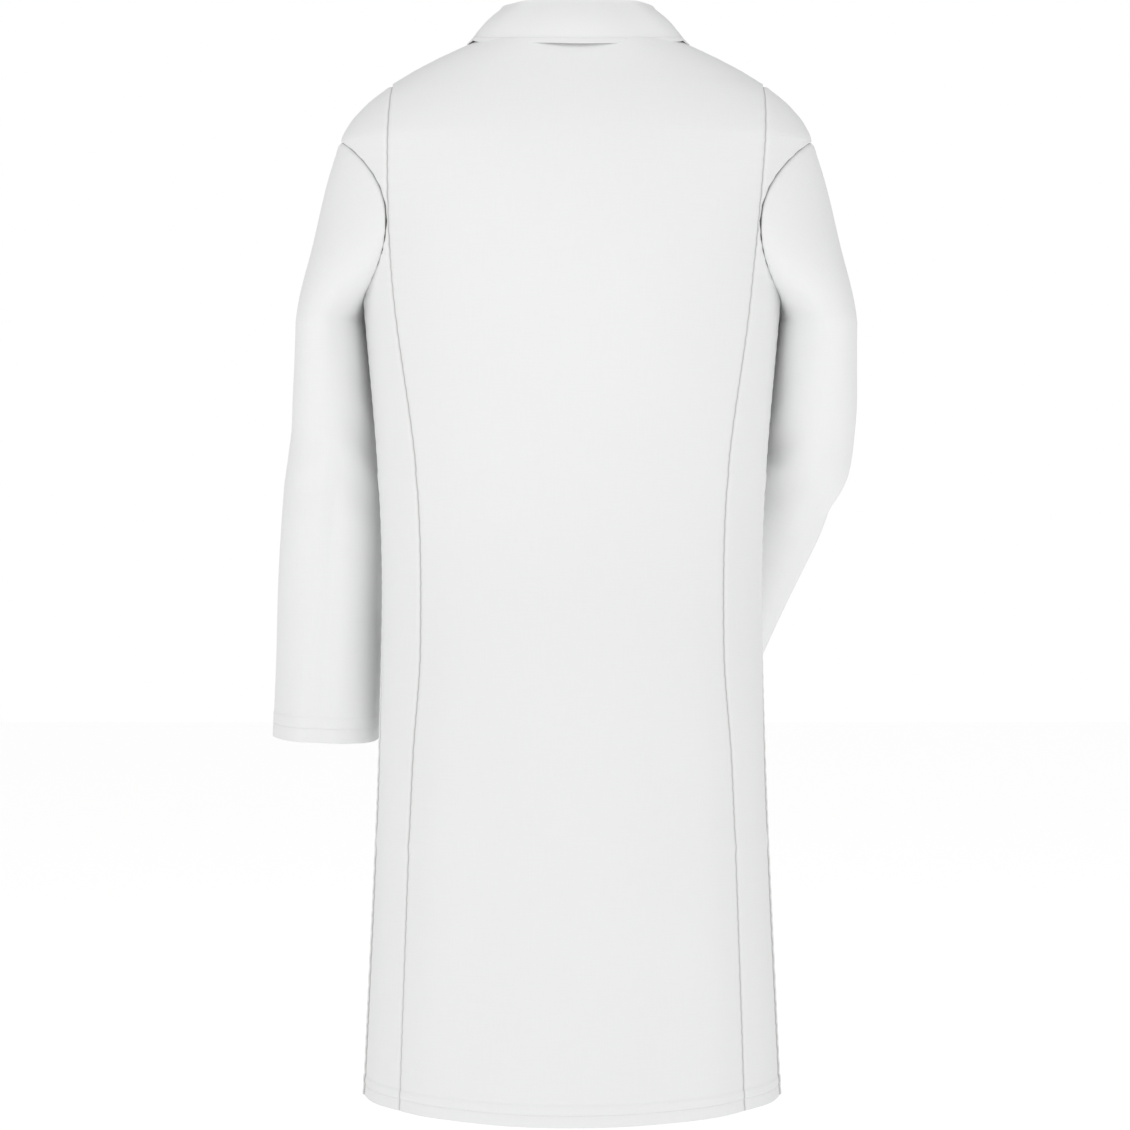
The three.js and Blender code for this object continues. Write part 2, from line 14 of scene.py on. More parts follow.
import bpy
import numpy as np
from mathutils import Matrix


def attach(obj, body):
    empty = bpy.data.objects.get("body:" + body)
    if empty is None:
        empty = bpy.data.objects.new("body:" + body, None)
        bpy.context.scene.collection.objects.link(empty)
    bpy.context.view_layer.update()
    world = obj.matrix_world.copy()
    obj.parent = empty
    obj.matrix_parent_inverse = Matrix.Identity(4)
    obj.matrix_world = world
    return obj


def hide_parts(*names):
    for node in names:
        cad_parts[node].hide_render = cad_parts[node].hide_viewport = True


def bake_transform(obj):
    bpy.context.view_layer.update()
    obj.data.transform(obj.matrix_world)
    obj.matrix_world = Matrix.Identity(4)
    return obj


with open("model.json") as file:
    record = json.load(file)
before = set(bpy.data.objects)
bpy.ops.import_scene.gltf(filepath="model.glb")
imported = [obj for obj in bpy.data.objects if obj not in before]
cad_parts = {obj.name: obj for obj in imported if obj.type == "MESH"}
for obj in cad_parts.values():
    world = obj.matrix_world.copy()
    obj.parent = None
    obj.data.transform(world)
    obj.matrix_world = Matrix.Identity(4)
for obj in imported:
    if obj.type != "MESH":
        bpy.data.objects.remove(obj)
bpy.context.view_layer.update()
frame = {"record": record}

LOG = logging.getLogger("lab_coat")

Array = np.ndarray
MM = 0.001
TURN = math.pi
PLY = 1.2 * MM  # thickness of a sewn cloth layer
CLOTH_STAND = 1.0 * MM  # how far the middle of the coat's cloth lies off the body form
STITCH_LIFT = 0.15 * MM  # how far a line of stitches stands off the cloth
ROW_PITCH = 4.5 * MM
COLUMN_PITCH = 6.0 * MM
SEWN_GAP = 0.0006  # radians left at each side of a seam
BUTTON_NUMBERS = (1, 2, 3, 4)
SEAM_COLUMNS = (0.0, 0.8, 1.6, 2.6, 4.0, 6.0, 9.0, 13.0)  # mm from a seam, where the relief is fine


class Side(Enum):
    """A side of the coat, as its wearer has it."""

    RIGHT = 1
    LEFT = -1

    @property
    def word(self) -> str:
        """The side's name, as CAD nodes and bodies spell it."""
        return self.name.lower()


class Slot(Enum):
    """The record's material slots."""

    COAT = "coat_cloth"
    COLLAR = "collar_cloth"
    POCKET = "pocket_cloth"
    FACING = "facing_cloth"
    BUTTON = "button"


# ---- Small numeric helpers ----
def smooth(x: Array, low: float, high: float) -> Array:
    """Rises smoothly from 0 at low to 1 at high."""
    t = np.clip((np.asarray(x, float) - low) / (high - low), 0.0, 1.0)
    return t * t * (3.0 - 2.0 * t)


def bump(x: Array, middle: float, width: float) -> Array:
    """A bell of height 1 around middle."""
    return np.exp(-(((np.asarray(x, float) - middle) / width) ** 2))


def lerp(a: Array, b: Array, t: Array) -> Array:
    """The value a share t of the way from a to b."""
    return a + (b - a) * t


def unit(v: Array) -> Array:
    """v scaled to length 1 along its last axis."""
    return v / np.maximum(np.linalg.norm(v, axis=-1, keepdims=True), 1e-12)


def clustered(width: float, pitch: float = COLUMN_PITCH) -> Array:
    """Shares 0 to 1 across a width, finer at both ends.

    Args:
        width: the width, in metres.
        pitch: the largest step between columns.

    Returns:
        The shares, increasing.
    """
    near = np.array(SEAM_COLUMNS) * MM
    near = near[near < 0.4 * width]
    count = max(2, int(math.ceil((width - 2 * near[-1]) / pitch)))
    middle = np.linspace(near[-1], width - near[-1], count + 1)[1:-1]
    return np.concatenate([near, middle, (width - near)[::-1]]) / width


def rows_between(bottom: float, top: float, extra: Sequence[float] = (), pitch: float = ROW_PITCH) -> Array:
    """Heights from bottom to top, with extra ones among them and none closer than 0.3 mm.

    Args:
        bottom: the lowest height.
        top: the highest height.
        extra: heights to include. Even rows within 0.7 mm of one give way to it.
        pitch: the largest step between even rows.

    Returns:
        The heights, increasing.
    """
    count = int(math.ceil((top - bottom) / pitch))
    levels = np.linspace(bottom, top, count + 1)
    wanted = np.array([z for z in extra if bottom < z < top])
    if wanted.size:
        far = np.min(np.abs(levels[:, None] - wanted[None, :]), axis=1) > 0.7 * MM
        far[[0, -1]] = True
        levels = np.concatenate([levels[far], wanted])
    levels = np.unique(np.round(levels, 6))
    keep = np.concatenate([[True], np.diff(levels) > 0.3 * MM])
    return levels[keep]


def hermite(t: Array, start: Array, leave: Array, end: Array, arrive: Array) -> Array:
    """A smooth curve between two points.

    Args:
        t: shares of the way, 0 to 1.
        start: the first point.
        leave: the curve's run as it leaves the first point.
        end: the second point.
        arrive: the curve's run as it reaches the second point.

    Returns:
        The points at t.
    """
    return ((2 * t**3 - 3 * t**2 + 1) * start + (t**3 - 2 * t**2 + t) * leave
            + (3 * t**2 - 2 * t**3) * end + (t**3 - t**2) * arrive)


def station_slopes(places: Array, values: Array) -> Array:
    """Slopes at stations, each from its two neighbours.

    Args:
        places: where the stations are, increasing.
        values: the value at each, one or more columns.

    Returns:
        The slope at each station.
    """
    last = len(places) - 1
    low = np.maximum(np.arange(last + 1) - 1, 0)
    high = np.minimum(np.arange(last + 1) + 1, last)
    return ((values[high] - values[low]).T / (places[high] - places[low])).T


def joint(name: str) -> dict:
    """The record's joint of a name."""
    return next(j for j in frame["record"]["behaviour"]["joints"] if j["name"] == name)


class Profile:
    """A smooth value down the coat, through stations of (drop, value) in millimetres."""

    def __init__(self, stations: Sequence[tuple[float, float]]) -> None:
        """Keeps the stations in metres.

        Args:
            stations: increasing drops below the neck seam, each with its value.
        """
        self.drops = np.array([s[0] for s in stations]) * MM
        self.values = np.array([s[1] for s in stations]) * MM
        self.slopes = station_slopes(self.drops, self.values)

    def __call__(self, drop: Array) -> Array:
        """The value at a drop.

        Args:
            drop: metres below the neck seam.

        Returns:
            The value there, in metres.
        """
        d = np.clip(np.asarray(drop, float), self.drops[0], self.drops[-1])
        i = np.clip(np.searchsorted(self.drops, d, side="right") - 1, 0, len(self.drops) - 2)
        span = self.drops[i + 1] - self.drops[i]
        t = (d - self.drops[i]) / span
        leave, arrive = span * self.slopes[i], span * self.slopes[i + 1]
        return hermite(t, self.values[i], leave, self.values[i + 1], arrive)


@dataclass(frozen=True)
class BodyForm:
    """The surface that the body of the coat lies on.

    Angle 0 is the centre back, and 90 degrees is the wearer's right side.
    """

    hem: float = -1.015
    neck_half: float = 0.078
    neck_rise: float = 0.014
    shoulder_half: float = 0.225
    shoulder_drop: float = 0.088
    shoulder_curve: float = 2.0
    shoulder_share: float = 0.88  # of the full curve, so the shoulder still slopes where the sleeve starts
    chest_drop: float = 0.240
    sway_max: float = 0.006
    break_drop: float = 0.300
    overlap: float = 0.022
    front_seam: float = 0.078
    armhole_height: float = 0.074
    armhole_depth: float = 0.060
    width_below: Profile = Profile([(88, 225), (150, 208), (240, 199), (452, 182.5), (662, 184.5),
                                    (1015, 199)])
    back: Profile = Profile([(-14, 73), (0, 76), (88, 107), (180, 115), (452, 98), (662, 108), (1015, 112)])
    front: Profile = Profile([(-14, 60), (88, 92), (240, 114), (452, 101), (662, 110), (1015, 116)])
    princess: Profile = Profile([(0, 176), (100, 177), (240, 168), (412, 146), (572, 143), (682, 151),
                                 (922, 160), (1015, 163)])
    front_curve: Profile = Profile([(0, 176), (88, 158), (170, 112), (300, 78), (360, 78), (1015, 78)])

    @property
    def armhole_middle(self) -> float:
        """Height of the middle of the armhole."""
        return -(self.shoulder_drop + self.armhole_height)

    @property
    def armhole_rows(self) -> list[float]:
        """Heights that follow the armhole's round ends."""
        steps = np.linspace(0, TURN, 37)
        return list(self.armhole_middle + self.armhole_height * np.cos(steps))

    def sway(self, z: Array) -> Array:
        """How far the coat hangs to the wearer's right at a height."""
        return self.sway_max * smooth(z, -self.chest_drop, 0.0)

    def half_width(self, z: Array) -> Array:
        """Half the coat's width at a height.

        Args:
            z: heights above the neck seam, in metres.

        Returns:
            The half width at each.
        """
        z = np.asarray(z, float)
        s = np.clip((self.neck_rise - z) / (self.neck_rise + self.shoulder_drop), 0, 1)
        full = 1 - (1 - self.shoulder_share) ** self.shoulder_curve
        grown = (1 - (1 - self.shoulder_share * s) ** self.shoulder_curve) / full
        shoulder = lerp(self.neck_half, self.shoulder_half, grown)
        return np.where(z < -self.shoulder_drop, self.width_below(-z), shoulder)

    def meeting(self, seam: Profile) -> float:
        """Height where a seam's line runs into the shoulder ridge.

        Args:
            seam: the seam's distance from the centre line.

        Returns:
            The height above the neck seam.
        """
        low, high = -self.shoulder_drop, self.neck_rise
        for _ in range(40):
            middle = (low + high) / 2
            wider = float(self.half_width(middle)) > float(seam(-middle))
            low, high = (middle, high) if wider else (low, middle)
        return low

    def point(self, angle: Array, z: Array) -> Array:
        """A point of the surface.

        Args:
            angle: the angle round the body.
            z: the height above the neck seam.

        Returns:
            The point, or one for each angle and height.
        """
        angle, z = np.broadcast_arrays(np.asarray(angle, float), np.asarray(z, float))
        depth = np.where(np.cos(angle) > 0, self.back(-z), self.front(-z))
        across = self.sway(z) + self.half_width(z) * np.sin(angle)
        return np.stack([across, -depth * np.cos(angle), z], axis=-1)

    def normal(self, angle: Array, z: Array) -> Array:
        """The outward direction at a point of the surface.

        Args:
            angle: the angle round the body.
            z: the height above the neck seam.

        Returns:
            A direction of length 1.
        """
        step = 0.01
        angle, z = np.broadcast_arrays(np.asarray(angle, float), np.asarray(z, float))
        around = self.point(angle + step, z) - self.point(angle - step, z)
        up = self.point(angle, z + MM) - self.point(angle, z - MM)
        return unit(np.cross(around, up))

    def on(self, angle: Array, z: Array, stand: Array) -> Array:
        """A point that stands off the surface."""
        return self.point(angle, z) + self.normal(angle, z) * np.asarray(stand, float)[..., None]

    def back_angle(self, x: Array, z: Array) -> Array:
        """Angle on the back at a distance from the centre line."""
        return np.arcsin(np.clip(x / self.half_width(z), -1, 1))

    def front_angle(self, x: Array, z: Array) -> Array:
        """Angle on the front at a distance from the centre line."""
        return TURN - self.back_angle(x, z)

    def roll_x(self, z: Array) -> Array:
        """Where the lapel folds, from the centre line."""
        return self.neck_half * np.clip((z + self.break_drop) / (self.neck_rise + self.break_drop), 0, 1)

    def front_seam_x(self, z: Array) -> Array:
        """The front princess seam, from the centre line."""
        return np.maximum(self.front_seam, self.front_curve(-np.asarray(z, float)))

    def side_angles(self, z: Array) -> tuple[Array, Array]:
        """The side's edges, at the armhole or below it.

        Args:
            z: the height above the neck seam.

        Returns:
            The edge's angle on the back, and its angle on the front.
        """
        rise = (z - self.armhole_middle) / self.armhole_height
        depth = self.armhole_depth * np.sqrt(np.maximum(0, 1 - rise * rise))
        return np.arccos(depth / self.back(-z)), TURN - np.arccos(depth / self.front(-z))

    def arc(self, angle: Array, z: Array) -> Array:
        """Metres of cloth per radian round the body."""
        depth = np.where(np.cos(angle) > 0, self.back(-z), self.front(-z))
        return np.hypot(self.half_width(z) * np.cos(angle), depth * np.sin(angle))


BODY = BodyForm()


@dataclass(frozen=True)
class Drape:
    """Soft folds that the hanging cloth takes, the same function on both sides of every seam."""

    top: float = 0.35 * MM
    hem: float = 1.7 * MM
    seam_dip: float = 1.0 * MM
    seam_ridge: float = 0.32 * MM
    pucker: float = 0.32 * MM
    pucker_pitch: float = 0.0137
    pucker_reach: float = 0.009
    yoke_pull: float = 0.6 * MM
    fold_depth: float = 2.1 * MM
    fold_reach: float = 0.020
    mark_depth: float = 1.1 * MM
    mark_reach: float = 0.013
    upper_mark: float = -0.412  # heights where the long folds are pinched
    lower_mark: float = -0.757
    hem_lift: float = 12 * MM
    band_lift: float = 0.45 * MM
    band_dip: float = 0.30 * MM

    def height(self, angle: Array, z: Array) -> Array:
        """How far the cloth stands off its surface.

        Args:
            angle: the angle round the body.
            z: the height above the neck seam.

        Returns:
            The stand-off, in metres.
        """
        size = lerp(self.top, self.hem, smooth(-z, 0.35, 1.0))
        waves = (0.55 * np.sin(7.0 * angle + 1.3 + 1.2 * np.sin(4.0 * z))
                 + 0.30 * np.sin(13.0 * angle + 2.1 - 3.0 * z) + 0.25 * np.sin(3.1 * angle - 5.0 * z))
        pull = self.yoke_pull * np.sin(26.0 * z + 9.0 * np.cos(angle)) * bump(z, -0.16, 0.10)
        return size * waves + pull * np.cos(angle) ** 2

    def seam(self, gap: Array, z: Array, soft_fold: bool = True) -> Array:
        """Relief beside a seam.

        Args:
            gap: the distance from the seam.
            z: the height above the neck seam.
            soft_fold: whether the long soft fold beside the seam is there.

        Returns:
            The relief, in metres.
        """
        line = -self.seam_dip * bump(gap, 0.0, 1.5 * MM)
        ridge = self.seam_ridge * smooth(gap, 1.5 * MM, 4 * MM) * (1 - smooth(gap, 9 * MM, 15 * MM))
        wave = np.sin(z * 2 * TURN / self.pucker_pitch + 1.7 * np.sin(z * 61.0))
        gathers = self.pucker * wave * np.exp(-gap / self.pucker_reach)
        if not soft_fold:
            return line + ridge + gathers
        fold = -self.fold_depth * bump(gap, 0.0, self.fold_reach) * smooth(-z, 0.42, 0.72)
        pinches = bump(z, self.lower_mark, 0.006) + 0.8 * bump(z, self.upper_mark, 0.008)
        return line + ridge + gathers + fold + self.mark_depth * pinches * np.exp(-gap / self.mark_reach)

    def hem_rise(self, angle: Array) -> Array:
        """The hem hangs a little higher at the sides."""
        return self.hem_lift * np.abs(np.sin(angle)) ** 2.2

    def band(self, above: Array, height: float = 20 * MM) -> Array:
        """A folded and stitched edge. above is the distance from the edge."""
        fold = self.band_lift * (1 - smooth(above, height - 1 * MM, height + 1 * MM))
        return fold - self.band_dip * bump(above, 0.55 * height, 1.1 * MM)


DRAPE = Drape()


# ---- How pieces ride on the CAD bodies ----
@dataclass(frozen=True)
class Hold:
    """How a piece follows the bodies: it rides on one; when a second body is named, the piece only has its
    transform baked in.
    """

    body: str
    other: Optional[str] = None
    start: tuple[float, float, float] = (0, 0, 0)
    end: tuple[float, float, float] = (0, 0, 0)

    def apply(self, piece: bpy.types.Object) -> None:
        """Parents a piece to its body, or, when a second body is named, bakes its transform in place.

        Args:
            piece: the finished object.
        """
        if self.other is None:
            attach(piece, self.body)
        else:
            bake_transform(piece)


TORSO = Hold("torso")
FIRST_BUTTON_TOP = -0.341


def front_hold(side: Side) -> Hold:
    """A front's hold, with its span from the lapel's break to the first button."""
    y = 0.11
    return Hold("torso", f"front_{side.word}", (0, y, -BODY.break_drop), (0, y, FIRST_BUTTON_TOP))


def lapel_hold(side: Side) -> Hold:
    """A lapel's hold, with its span along the roll line, beside the line of its joint.

    Args:
        side: which lapel.

    Returns:
        The hold.
    """
    hinge = joint(f"lapel_{side.word}_lift")
    axis = np.array(hinge["axis"]) * math.copysign(1, hinge["axis"][2])
    across = unit(np.array([axis[2], 0.0, -axis[0]])) * side.value
    start = np.array(hinge["pos_m"]) + across * 1.0 * MM
    return Hold("torso", f"lapel_{side.word}", tuple(start), tuple(start + across * 14 * MM))


# ---- Meshes ----
@dataclass
class Grid:
    """A sheet of cloth as two plies of points, rows by columns, with their flat coordinates."""

    outer: Array
    inner: Array
    wrap: bool = False
    shade: Optional[Array] = None

    @classmethod
    def from_surface(cls, middle: Array, normal: Array, relief: Array, ply: float = PLY, wrap: bool = False,
                     shade: Optional[Array] = None) -> "Grid":
        """A sheet on both sides of a middle surface.

        Args:
            middle: the cloth's middle.
            normal: the outward direction.
            relief: how far the cloth is moved outward.
            ply: half the distance between the two plies.
            wrap: whether the columns close into a ring.
            shade: how much painted shade darkens each point along its seams, if any.

        Returns:
            The sheet.
        """
        rise = np.broadcast_to(np.asarray(relief, float), middle.shape[:2])[..., None]
        return cls(middle + normal * (rise + ply / 2), middle + normal * (rise - ply / 2), wrap, shade)

    def rows(self, start: int, stop: Optional[int] = None) -> "Grid":
        """A run of the sheet's rows."""
        shade = None if self.shade is None else self.shade[start:stop]
        return Grid(self.outer[start:stop], self.inner[start:stop], self.wrap, shade)

    def mirrored(self) -> "Grid":
        """The same sheet on the other side of the coat.

        Returns:
            The mirrored sheet.
        """
        def flip(points: Array) -> Array:
            """Mirrors points and turns their order round.

            Args:
                points: one ply of the sheet.

            Returns:
                The mirrored ply.
            """
            out = points[:, ::-1].copy()
            out[..., 0] = 2 * BODY.sway(out[..., 2]) - out[..., 0]
            return out
        shade = None if self.shade is None else self.shade[:, ::-1]
        return Grid(flip(self.outer), flip(self.inner), self.wrap, shade)

    def flat(self) -> Array:
        """Flat coordinates in metres, from lengths along the cloth.

        Returns:
            Across and along, for each point.
        """
        across = np.linalg.norm(np.diff(self.outer, axis=1), axis=2)
        u = np.concatenate([np.zeros((len(self.outer), 1)), np.cumsum(across, axis=1)], axis=1)
        u -= u[:, -1:] / 2
        along = np.linalg.norm(np.diff(self.outer, axis=0), axis=2).mean(axis=1)
        v = np.concatenate([[0.0], np.cumsum(along)])
        return np.stack([u, np.broadcast_to(v[:, None], u.shape)], axis=-1)

    def size(self) -> tuple[float, float, float]:
        """The flat size of the middle of the cloth.

        Returns:
            Its width, length and area.
        """
        mid = (self.outer + self.inner) / 2
        if self.wrap:
            mid = np.concatenate([mid, mid[:, :1]], axis=1)
        width = float(np.linalg.norm(np.diff(mid, axis=1), axis=2).sum(axis=1).max())
        length = float(np.linalg.norm(np.diff(mid, axis=0), axis=2).sum(axis=0).max())
        a, b, c, d = mid[:-1, :-1], mid[:-1, 1:], mid[1:, 1:], mid[1:, :-1]
        area = float((np.linalg.norm(np.cross(b - a, c - a), axis=2)
                      + np.linalg.norm(np.cross(c - a, d - a), axis=2)).sum() / 2)
        return width, length, min(area, width * length)


def mesh_object(name: str, points: Array, quads: Array, uv: Optional[Array] = None,
                shade: Optional[Array] = None) -> bpy.types.Object:
    """Makes a smooth mesh object at the origin.

    Args:
        name: the object's name.
        points: vertex positions.
        quads: four vertex numbers per face, facing outwards.
        uv: flat coordinates per vertex, in metres.
        shade: how much painted seam shade darkens each vertex, 0 to 1.

    Returns:
        The object, linked to the scene.
    """
    mesh = bpy.data.meshes.new(name)
    mesh.vertices.add(len(points))
    mesh.vertices.foreach_set("co", points.astype(np.float32).ravel())
    mesh.loops.add(quads.size)
    mesh.loops.foreach_set("vertex_index", quads.astype(np.int32).ravel())
    mesh.polygons.add(len(quads))
    mesh.polygons.foreach_set("loop_start", np.arange(0, quads.size, 4, dtype=np.int32))
    mesh.update(calc_edges=True)
    mesh.polygons.foreach_set("use_smooth", np.ones(len(quads), bool))
    if uv is not None:
        layer = mesh.uv_layers.new(name="UVMap")
        layer.data.foreach_set("uv", uv[quads.ravel()].astype(np.float32).ravel())
    # Painted shade: a per-vertex attribute that the cloth material uses to darken the seam lines.
    if shade is not None:
        depth = mesh.attributes.new("crease", "FLOAT", "POINT")
        depth.data.foreach_set("value", shade.astype(np.float32))
    mesh.validate()
    mesh.set_sharp_from_angle(angle=math.radians(45))
    piece = bpy.data.objects.new(name, mesh)
    bpy.context.scene.collection.objects.link(piece)
    return piece


def sheet_object(name: str, grid: Grid) -> bpy.types.Object:
    """Makes one closed sheet with rounded edges from a grid's two plies.

    Args:
        name: the object's name.
        grid: the sheet.

    Returns:
        The new object.
    """
    rows, columns = grid.outer.shape[:2]
    count = rows * columns
    number = np.arange(count).reshape(rows, columns)
    across = np.concatenate([number, number[:, :1]], axis=1) if grid.wrap else number
    a, b, c, d = across[:-1, :-1], across[:-1, 1:], across[1:, 1:], across[1:, :-1]
    front = np.stack([a, b, c, d], axis=-1).reshape(-1, 4)
    back = front[:, ::-1] + count
    uv = grid.flat()
    shade = np.zeros((rows, columns)) if grid.shade is None else grid.shade
    points = [grid.outer.reshape(-1, 3), grid.inner.reshape(-1, 3)]
    uvs = [uv.reshape(-1, 2), uv.reshape(-1, 2)]
    painted_shades = [shade.reshape(-1), shade.reshape(-1)]
    quads = [front, back]
    if grid.wrap:
        loops = [(number[0], number[1]), (number[-1][::-1], number[-2][::-1])]
    else:
        edge = np.concatenate([number[0], number[1:, -1], number[-1, -2::-1], number[-2:0:-1, 0]])
        inside = np.concatenate([number[1], number[1:, -2], number[-2, -2::-1], number[-2:0:-1, 1]])
        loops = [(edge, inside)]
    flat_outer, flat_inner = grid.outer.reshape(-1, 3), grid.inner.reshape(-1, 3)
    base = 2 * count
    for edge, inside in loops:
        outward = unit(flat_outer[edge] - flat_outer[inside])
        half = np.linalg.norm(flat_outer[edge] - flat_inner[edge], axis=1, keepdims=True) / 2
        points.append((flat_outer[edge] + flat_inner[edge]) / 2 + outward * half * 0.8)
        uvs.append(uv.reshape(-1, 2)[edge])
        painted_shades.append(shade.reshape(-1)[edge])
        middle = base + np.arange(len(edge))
        following = np.roll(np.arange(len(edge)), -1)
        quads.append(np.stack([edge, middle, middle[following], edge[following]], axis=-1))
        quads.append(np.stack([middle, edge + count, edge[following] + count, middle[following]], axis=-1))
        base += len(edge)
    return mesh_object(name, np.concatenate(points), np.concatenate(quads), np.concatenate(uvs),
                       np.concatenate(painted_shades))


# ---- Node groups and finishes ----
class Nodes:
    """A short way to add and join nodes in one tree."""

    def __init__(self, tree: bpy.types.NodeTree) -> None:
        """Keeps the tree.

        Args:
            tree: the node tree to build in.
        """
        self.tree = tree

    def add(self, kind: str, **settings: object) -> bpy.types.Node:
        """Adds a node and sets its properties.

        Args:
            kind: the node's type.
            settings: its properties.

        Returns:
            The new node.
        """
        node = self.tree.nodes.new(kind)
        for name, value in settings.items():
            setattr(node, name, value)
        return node

    def link(self, source: bpy.types.NodeSocket, target: bpy.types.NodeSocket) -> None:
        """Joins two sockets."""
        self.tree.links.new(source, target)

    def math(self, operation: str, a: object, b: object = 0.0) -> bpy.types.NodeSocket:
        """Adds a math node.

        Args:
            operation: what it does.
            a: a socket or a number.
            b: a socket or a number.

        Returns:
            Its output.
        """
        node = self.add("ShaderNodeMath", operation=operation)
        for socket, value in zip(node.inputs, (a, b)):
            if isinstance(value, bpy.types.NodeSocket):
                self.link(value, socket)
            else:
                socket.default_value = float(value)
        return node.outputs[0]


def start_material(name: str) -> tuple[bpy.types.Material, Nodes, bpy.types.Node]:
    """A new material, its nodes and its shader.

    Args:
        name: the material's name.

    Returns:
        The material, a maker for its nodes, and its Principled BSDF.
    """
    material = bpy.data.materials.new(name)
    material.use_nodes = True
    return material, Nodes(material.node_tree), material.node_tree.nodes["Principled BSDF"]


def add_tint(make: Nodes, dark: Sequence[float], light: Sequence[float],
             share: bpy.types.NodeSocket) -> bpy.types.NodeSocket:
    """Mixes two colours.

    Args:
        make: the material's nodes.
        dark: the colour at share 0.
        light: the colour at share 1.
        share: how much of the light colour, over the surface.

    Returns:
        The mixed colour.
    """
    tint = make.add("ShaderNodeMix", data_type="RGBA")
    tint.inputs[6].default_value = (*dark, 1)
    tint.inputs[7].default_value = (*light, 1)
    make.link(share, tint.inputs[0])
    return tint.outputs[2]


def weave_group() -> bpy.types.NodeTree:
    """A plain weave: a height for the bump, and a tint where yarns are thicker.

    Returns:
        The node group.
    """
    tree = bpy.data.node_groups.new("Plain weave", "ShaderNodeTree")
    tree.interface.new_socket("Flat", in_out="INPUT", socket_type="NodeSocketVector")
    pitch = tree.interface.new_socket("Yarns per metre", in_out="INPUT", socket_type="NodeSocketFloat")
    pitch.default_value = 1900.0
    tree.interface.new_socket("Height", in_out="OUTPUT", socket_type="NodeSocketFloat")
    tree.interface.new_socket("Slub", in_out="OUTPUT", socket_type="NodeSocketFloat")
    make = Nodes(tree)
    source = make.add("NodeGroupInput")
    sink = make.add("NodeGroupOutput")
    split = make.add("ShaderNodeSeparateXYZ")
    make.link(source.outputs["Flat"], split.inputs[0])
    turns = make.math("MULTIPLY", source.outputs["Yarns per metre"], TURN)
    warp = make.math("SINE", make.math("MULTIPLY", split.outputs[0], turns))
    weft = make.math("SINE", make.math("MULTIPLY", split.outputs[1], turns))
    crossing = make.math("MULTIPLY", warp, weft)
    slubs = []
    for stretch in ((900.0, 38.0, 1.0), (38.0, 900.0, 1.0)):
        scale = make.add("ShaderNodeVectorMath", operation="MULTIPLY")
        make.link(source.outputs["Flat"], scale.inputs[0])
        scale.inputs[1].default_value = stretch
        noise = make.add("ShaderNodeTexNoise")
        noise.inputs["Scale"].default_value = 1.0
        noise.inputs["Detail"].default_value = 2.0
        make.link(scale.outputs[0], noise.inputs["Vector"])
        slubs.append(noise.outputs["Fac"])
    slub = make.math("MULTIPLY", make.math("ADD", slubs[0], slubs[1]), 0.5)
    make.link(make.math("ADD", make.math("MULTIPLY", crossing, 0.35), slub), sink.inputs["Height"])
    make.link(slub, sink.inputs["Slub"])
    return tree


@dataclass(frozen=True)
class PoplinFinish:
    """White poplin: weave, slubs, faint creasing, and painted shade that greys the seam lines."""

    name: str
    light: tuple[float, float, float] = (0.86, 0.868, 0.865)
    dark: tuple[float, float, float] = (0.80, 0.805, 0.80)
    roughness: float = 0.82
    sheen: float = 0.12
    weave_depth: float = 0.05 * MM
    crease_depth: float = 0.55 * MM

    def build(self, weave: bpy.types.NodeTree) -> bpy.types.Material:
        """Builds the cloth's material.

        Args:
            weave: the shared weave group.

        Returns:
            The material.
        """
        material, make, shader = start_material(self.name)
        shader.inputs["Sheen Weight"].default_value = self.sheen
        shader.inputs["Sheen Roughness"].default_value = 0.5
        shader.inputs["Specular IOR Level"].default_value = 0.25
        place = make.add("ShaderNodeTexCoord")
        cloth = make.add("ShaderNodeGroup")
        cloth.node_tree = weave
        make.link(place.outputs["UV"], cloth.inputs["Flat"])
        patches = make.add("ShaderNodeTexNoise")
        patches.inputs["Scale"].default_value = 7.0
        patches.inputs["Detail"].default_value = 3.0
        make.link(place.outputs["Object"], patches.inputs["Vector"])
        mix_by = make.math("ADD", make.math("MULTIPLY", cloth.outputs["Slub"], 0.75),
                           make.math("MULTIPLY", patches.outputs["Fac"], 0.35))
        colour = add_tint(make, self.dark, self.light, mix_by)
        # Painted shade: a per-vertex attribute mixes the seam lines towards grey, standing in for the shadow
        # in the seam groove.
        depth = make.add("ShaderNodeAttribute", attribute_name="crease")
        grey = make.add("ShaderNodeMix", data_type="RGBA")
        grey.inputs[7].default_value = (0.36, 0.355, 0.35, 1)
        make.link(depth.outputs["Fac"], grey.inputs[0])
        make.link(colour, grey.inputs[6])
        make.link(grey.outputs[2], shader.inputs["Base Color"])
        rough = make.math("ADD", make.math("MULTIPLY", cloth.outputs["Slub"], 0.12), self.roughness - 0.06)
        make.link(rough, shader.inputs["Roughness"])
        folds = make.add("ShaderNodeTexNoise")
        folds.inputs["Scale"].default_value = 16.0
        folds.inputs["Detail"].default_value = 4.0
        folds.inputs["Roughness"].default_value = 0.45
        make.link(place.outputs["Object"], folds.inputs["Vector"])
        broad = make.add("ShaderNodeBump")
        broad.inputs["Distance"].default_value = self.crease_depth
        broad.inputs["Strength"].default_value = 0.8
        make.link(folds.outputs["Fac"], broad.inputs["Height"])
        fine = make.add("ShaderNodeBump")
        fine.inputs["Distance"].default_value = self.weave_depth
        make.link(cloth.outputs["Height"], fine.inputs["Height"])
        make.link(broad.outputs["Normal"], fine.inputs["Normal"])
        make.link(fine.outputs["Normal"], shader.inputs["Normal"])
        return material


